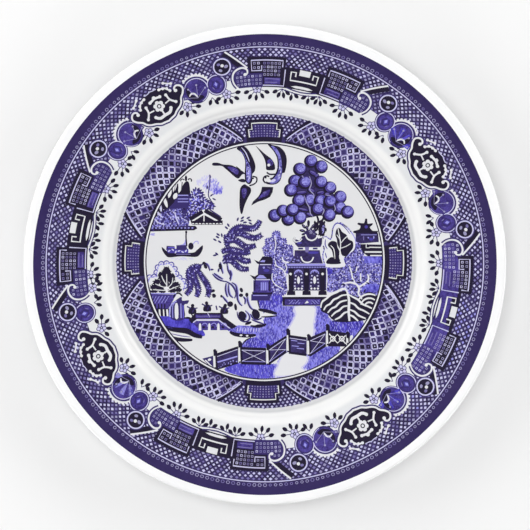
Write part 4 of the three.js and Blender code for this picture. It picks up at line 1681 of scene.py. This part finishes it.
def bridge():
    """The three-arched bridge, and three small figures that cross it."""
    piece = scene_print("bridge", 7)
    piece.fill("black", [
        (-42, -30.6), (-38.4, -26.6), (-23.6, -26.6), (-22.6, -29), (-15.4, -34.2), (-18.4, -35.6),
        (-25.8, -30), (-37.6, -30), (-40.4, -32.6)])
    piece.fill("violet_wash", [
        (-38, -31), (-25.6, -31), (-19.4, -35), (-18.8, -36.2), (-36, -36.2), (-39, -33)])
    piece.up()
    piece.fill("violet_wash", [(-38.2, -27.6), (-24.4, -27.6), (-24.6, -29.4), (-38.2, -29.4)])
    piece.line("pale", [(-39.6, -32), (-37.4, -30.3), (-26, -30.3), (-19.4, -35.2)], 0.6)
    for x in (-35.8, -30.7, -25.7):
        piece.fill("white", [
            (x - 0.75, -36.3), (x - 0.6, -33), (x, -32.2), (x + 0.6, -33), (x + 0.75, -36.3)])
    for x in (-33.2, -28.2, -22.6):
        piece.line("lavender", arc(x, -33.8, 1.5, 160, -20, 6), 0.4)
        piece.dot("black", x - 0.6, -34.6, 0.8, 0.7, sides=8)
    piece.line("mauve", [(-37.6, -28.5), (-25, -28.5)], 0.3)
    piece.line("pale", [(-31.6, -26.8), (-30.4, -29)], 0.7, 0.5)
    piece.lay()
    figures = scene_print("bridge_figures", 9)
    for x, y, lean in ((-40, -25, 0), (-31.8, -23.6, -0.5), (-22.4, -25, 0.4)):
        figures.patch("black", [
            (x - 2, y - 2.1), (x - 2.1, y + 0.2), (x - 0.8, y + 1.7), (x + 0.9, y + 1.6), (x + 2, y + 0.2),
            (x + 1.9, y - 2.1)], 2)
        figures.dot("black", x + 0.1 + lean, y + 2.4, 0.95, 1.05, sides=10)
        figures.line("navy", [(x - 0.8, y + 0.8), (x - 3, y + 2)], 0.8)
        figures.line("navy", [(x + 0.8, y + 0.6), (x + 2.8, y + 1.2)], 0.7)
        figures.leaf("navy", x + 0.3, y - 0.6, 2.2, 0.7, 70)
    figures.line("black", [(-40.6, -27), (-39, -30)], 0.8)
    figures.line("navy", [(-27, -22.6), (-26.4, -25)], 0.8)
    figures.lay()


def white_path(piece, path, longest):
    """A white path whose edges fade into the ground through lavender and pale marks."""
    piece.line("lavender", path, 2.2, closed=True)
    for x, y, _ in spaced(path + path[:1], 0.6):
        stray = piece.between(-0.5, 0.5)
        piece.leaf("lavender", x + 3.6 * stray, y + stray, longest, 0.8, 90)
        piece.leaf("pale", x - 2.2 * stray, y - stray, longest - 0.4, 0.8, 90)
        piece.leaf("white", x + 1.2 * stray, y, 1.8, 0.6, 90)
    piece.up()
    piece.line("pale", path, 1.1, closed=True)
    piece.up()
    piece.fill("white", path)


def banks():
    """The near shore: blue banks, a white path that widens to the front, and the water's edge."""
    piece = scene_print("banks")
    ground = curve([
        (-4, -16.4), (9.4, -16.4), (9.8, -23), (31, -23), (34.8, -27), (37, -31), (54, -31), (52.6, -36),
        (48.6, -41), (45, -39), (34.6, -38.4), (26.6, -41), (13.4, -41), (4, -46), (-12, -46),
        (-12.8, -43.8), (-9.4, -41), (-4.6, -39.6), (-19.2, -37.2), (-19.8, -35.4), (-14.6, -33.6),
        (-6, -34.2), (-0.2, -33.6), (-1, -31), (1, -28.6), (7, -28.4), (0, -26.2), (-3, -24.4),
        (-3.8, -20)], 2)
    near_left = curve([
        (-22.6, -58.2), (-15, -54.8), (-5, -54.8), (4.6, -55.2), (8, -56), (6, -60), (5.6, -62.6),
        (-6, -63), (-14, -61.6)], 3)
    near_right = curve([
        (20.4, -57), (22.8, -51.4), (29, -48.4), (34, -45.6), (41.4, -45.4), (39, -50.4), (30, -56.4),
        (22.6, -60)], 3)
    piece.fill("blue_wash", ground)
    piece.fill("deep_wash", near_left)
    piece.fill("blue_wash", near_right)
    piece.up()
    piece.patch("deep_wash", [(-3.4, -17), (1, -17), (9, -17), (9, -22), (3, -24.6), (-2.6, -23)])
    piece.patch("deep_wash", [(37, -31.4), (45, -31.8), (54, -31.8), (52, -36), (45, -37.4), (37, -36.4)])
    piece.patch("deep_wash", [(-9, -41.6), (-2, -40.6), (6, -43.6), (0, -45.8), (-10, -45.4)])
    piece.up()
    for outline in (ground, near_right):
        piece.stipple("lavender", outline, 1.3, 0.7, 0.3, 50)
        piece.stipple("cobalt", outline, 2.2, 0.8, 0.35, 50)
    piece.stipple("blue", near_left, 1.2, 0.9, 0.3, 30)
    piece.stipple("lavender", near_left, 1.9, 0.8, 0.3, 30)
    for x, y, _ in spaced([(-16, -35.4), (-2, -35.6)], 1.5):
        piece.leaf("pale", x, y - 0.6, 2.6, 0.5, 80)
    edges = (
        ([(-19.4, -37.2), (-16.4, -38.6), (-10, -39.4), (-5, -39)], 2.2),
        ([(-3.6, -24.8), (1.4, -25.8), (6.6, -27.2)], 2.0),
        ([(-2, -28.9), (2, -28.9), (6.6, -28.3)], 0.9),
        ([(-12.6, -44.6), (-10.6, -42), (-7.6, -40.4)], 0.8),
        ([(-4, -16.6), (-3.9, -20), (-3, -24)], 0.8),
        ([(-8, -33.8), (-4, -34.4), (-0.6, -33.6), (0.6, -32.8)], 1.4),
        ([(37, -31.4), (45, -31.6), (54, -31)], 0.8),
    )
    piece.sweeps("black", edges, 0.5, 4)
    piece.up()
    path = curve([
        (17, -23.4), (26.6, -23.4), (27.2, -28), (26.4, -33), (26.6, -37.4), (24.6, -41), (15.2, -39.9),
        (13.2, -36.6), (15.6, -31.6), (17.4, -27.4)], 3)
    white_path(piece, path, 2.6)
    piece.fill("white", [(-1.2, -27.2), (1.6, -27.4), (5, -28.2), (0.2, -28.3)])
    piece.dot("white", -13.2, -39.1, 0.8, 0.5)
    piece.dot("white", -9.8, -39.4, 0.7, 0.5)
    piece.lay()
    front = scene_print("front_path", 5)
    path = curve([
        (6.4, -61.6), (7.4, -56.6), (9.2, -51.8), (11.6, -49.2), (15, -48.4), (20, -49.8), (23.2, -51.6),
        (22, -55), (19.8, -57.4), (22.4, -60)], 3)
    white_path(front, path, 2.4)
    front.lay()


PLAIN_PANEL = 0  # the fence's leftmost, stippled under one bar
DASHED_PANEL = 3


def fence():
    """The zigzag fence across the front: white-edged posts and a different fret in each panel."""
    piece = scene_print("fence", 9)
    posts = (
        (-27.9, -47.6, -56.8), (-14.2, -43, -53.6), (1.3, -44.6, -54.8), (12.4, -36.2, -47.8),
        (23.8, -39.4, -49.8), (34.2, -33.8, -44), (45.4, -38, -43.4))
    panels = (
        [(-26.8, -49.8), (-14.8, -45.8), (-14.8, -54.2), (-26.8, -58.4)],
        [(-13.2, -46.2), (0.6, -46.8), (0.6, -55), (-13.2, -54.6)],
        [(2, -46.2), (11.8, -40), (11.8, -48.2), (2, -55)],
        [(13.2, -39.6), (23, -41), (23, -50.2), (13.2, -48.8)],
        [(24.6, -41.2), (33.6, -37.4), (33.6, -44.8), (24.6, -50.6)],
        [(34.8, -37.2), (44.8, -38.6), (44.8, -45), (34.8, -44.8)],
    )
    piece.fill("navy", [(-34.6, -52), (-28.6, -50.4), (-28.6, -57.6), (-31, -56)])
    for panel in panels:
        piece.fill("dark_wash", panel)
    piece.up()
    for upper_left, upper_right, lower_right, lower_left in panels:
        piece.line("black", [upper_left, upper_right], 1.3)
        piece.line("black", [lower_left, lower_right], 1.3)
    for panel in panels[1:3] + panels[4:5]:
        piece.line("black", [panel[0], panel[2]], 0.8)
        piece.line("black", [panel[1], panel[3]], 0.8)
    for x, top, bottom in posts:
        piece.line("black", [(x + 0.5, top), (x + 0.9, bottom - 0.8)], 2.1)
        piece.dot("black", x + 0.2, top, 0.9)
    piece.fill("black", panels[5])
    piece.up()
    piece.line("lavender", [(-26.2, -54), (-15.2, -50.8)], 0.8)
    piece.stipple("lavender", [(-26, -55), (-15, -52.2), (-15, -54), (-26, -57.6)], 1.5, 0.4)
    for number, (upper_left, upper_right, lower_right, lower_left) in enumerate(panels[:5]):
        left, top = upper_left
        rail = [(left + 0.4, top - 1.1), (upper_right[0] - 0.4, upper_right[1] - 1.1)]
        piece.line("pale", rail, 0.35)
        if number == DASHED_PANEL:
            for drop, start, end in ((2.4, 1.2, 4.6), (3.9, 4.8, 8.6), (5.4, 1.6, 5.4), (6.8, 4.4, 8.4)):
                piece.line("lavender", [(left + start, top - drop), (left + end, top - drop - 0.4)], 0.45)
        elif number != PLAIN_PANEL:
            foot = [(x + inset, y + 1.1) for (x, y), inset in ((lower_left, 0.4), (lower_right, -0.4))]
            piece.line("lavender", foot, 0.3)
            piece.line("pale", [rail[0], foot[1]], 0.3)
            piece.line("pale", [rail[1], foot[0]], 0.3)
            x = (left + lower_right[0]) / 2
            y = (top + lower_right[1]) / 2
            for rise in (1.9, -1.9):
                piece.dot("black", x, y + rise, 0.8, 0.6, 0, 4)
    for line in ([(35.4, -38.4), (40, -43.6), (44.6, -39.4)], [(35.4, -43.6), (40, -38.8), (44.6, -44)]):
        piece.line("white", line, 0.6)
    for x in (37.4, 42.4):
        piece.line("white", arc(x, -41.2, 1.3, 0, 324, 9), 0.6, closed=True)
    piece.dot("white", 47.8, -40, 0.8)
    piece.dot("white", -30.6, -52.6, 1.0, 0.7, 20)
    piece.line("white", [(-33, -52.8), (-29.2, -56.6)], 0.7)
    piece.up()
    for x, top, bottom in posts:
        piece.line("white", [(x, top - 2.9), (x + 0.3, bottom)], 0.85)
    piece.lay()


def centre_scene():
    for draw in (banks, grove, far_island, far_trees, far_house, feather_tree, rocks, far_pagoda,
                 striped_mounds, bush, gate_house, boat, willow_trunk, willow_fronds, sprigs, tower,
                 tea_house, tea_house_roofs, fruit_tree, swallow_left, swallow_right, bridge, fence):
        draw()


# ------------------------------------------------------------------------------------------ studio

FRAME_WIDTH = 292.9  # what the picture takes in across the plate
CAMERA_LENS = 800.0
CAMERA_TILT = 6.5  # off the plate's axis, in degrees
CAMERA_SIDE = 104.0  # the way it leans, anticlockwise from +X
CAMERA_AIM = (-0.03, 0.06)
SENSOR = 36.0
FLOOR_REACH = 6.0  # from the plate's axis to the floor's edge, in metres
FLOOR_GLOW = (0.125, 0.8)  # near the plate, and beyond the lamps' reach

# Each lamp's name, way round and height in degrees, distance and size in metres, power, and
# whether the glaze mirrors it.
LAMPS = (
    ("key_light", 135, 75, 2.2, 0.7, 9.5, False),
    ("top_light", 0, 90, 1.8, 1.2, 8.0, False),
    *((f"fill_light_{turn}", turn, 22, 1.5, 0.5, 2.9, False) for turn in range(0, 360, 45)),
    ("gloss_light_left", 165, 30, 1.5, 0.6, 5, True),
    ("gloss_light_right", 20, 28, 1.5, 0.6, 4, True),
)


def make_floor():
    """A pale table, lit a little from within so that the plate's shadow stays soft, and lit more
    beyond the lamps' reach."""
    mesh = bpy.data.meshes.new("studio_floor")
    corners = [(x * FLOOR_REACH, y * FLOOR_REACH, 0) for x, y in ((-1, -1), (1, -1), (1, 1), (-1, 1))]
    mesh.from_pydata(corners, [], [(0, 1, 2, 3)])
    material, nodes, links, shader = new_material("studio_floor")
    shader.inputs["Base Color"].default_value = (0.7, 0.7, 0.7, 1)
    shader.inputs["Roughness"].default_value = 0.9
    shader.inputs["Specular IOR Level"].default_value = 0.0
    shader.inputs["Emission Color"].default_value = (1, 1, 1, 1)
    place = add_node(nodes, "TexCoord")
    away = add_node(nodes, "VectorMath", operation="LENGTH")
    links.new(place.outputs["Object"], away.inputs[0])
    glow = spread(nodes, links, away.outputs["Value"], *FLOOR_GLOW, middle=1.5, width=1.0)
    links.new(glow, shader.inputs["Emission Strength"])
    mesh.materials.append(material)
    floor = bpy.data.objects.new("studio_floor", mesh)
    bpy.context.collection.objects.link(floor)


def make_light(name, turn, elevation, distance, size, power, mirrored):
    """A soft square lamp that faces the plate. One that isn't mirrored leaves no highlight."""
    lamp = bpy.data.lights.new(name, "AREA")
    lamp.size = size
    lamp.energy = power
    light = bpy.data.objects.new(name, lamp)
    around = math.radians(turn)
    above = math.radians(elevation)
    way = Vector((math.cos(around) * math.cos(above), math.sin(around) * math.cos(above), math.sin(above)))
    light.location = way * distance
    light.rotation_euler = (-light.location).to_track_quat("-Z", "Y").to_euler()
    light.visible_camera = False
    light.visible_glossy = mirrored
    bpy.context.collection.objects.link(light)


def make_world():
    world = bpy.data.worlds.new("studio_world")
    bpy.context.scene.world = world
    world.use_nodes = True
    nodes = world.node_tree.nodes
    links = world.node_tree.links
    place = add_node(nodes, "TexCoord")
    split = add_node(nodes, "SeparateXYZ")
    ramp = add_node(nodes, "ValToRGB")
    stops = ramp.color_ramp.elements
    stops[0].position = 0.0
    stops[0].color = (0.86, 0.86, 0.86, 1)
    stops[1].position = 0.85
    stops[1].color = (0.05, 0.05, 0.05, 1)
    links.new(place.outputs["Generated"], split.inputs["Vector"])
    links.new(split.outputs["Z"], ramp.inputs["Fac"])
    links.new(ramp.outputs["Color"], nodes["Background"].inputs["Color"])


def make_camera():
    data = bpy.data.cameras.new("camera")
    data.lens = CAMERA_LENS
    data.sensor_width = SENSOR
    data.clip_end = 20.0
    camera = bpy.data.objects.new("camera", data)
    bpy.context.collection.objects.link(camera)
    tilt = math.radians(CAMERA_TILT)
    side = math.radians(CAMERA_SIDE)
    back = Vector((math.sin(tilt) * math.cos(side), math.sin(tilt) * math.sin(side), math.cos(tilt)))
    across = Vector((0, 1, 0)).cross(back).normalized()
    upward = back.cross(across)
    aim = Vector((CAMERA_AIM[0], CAMERA_AIM[1], PLATE_HEIGHT)) * MM
    turned = Matrix((across, upward, back)).transposed().to_4x4()
    distance = FRAME_WIDTH * MM * CAMERA_LENS / SENSOR
    camera.matrix_world = Matrix.Translation(aim + back * distance) @ turned
    bpy.context.scene.camera = camera


def make_studio():
    make_camera()
    make_floor()
    make_world()
    for lamp in LAMPS:
        make_light(*lamp)
    bpy.context.scene.view_settings.view_transform = "Standard"
    bpy.context.scene.view_settings.look = "None"


make_studio()
make_body()
rim_border()
well_border()
centre_scene()
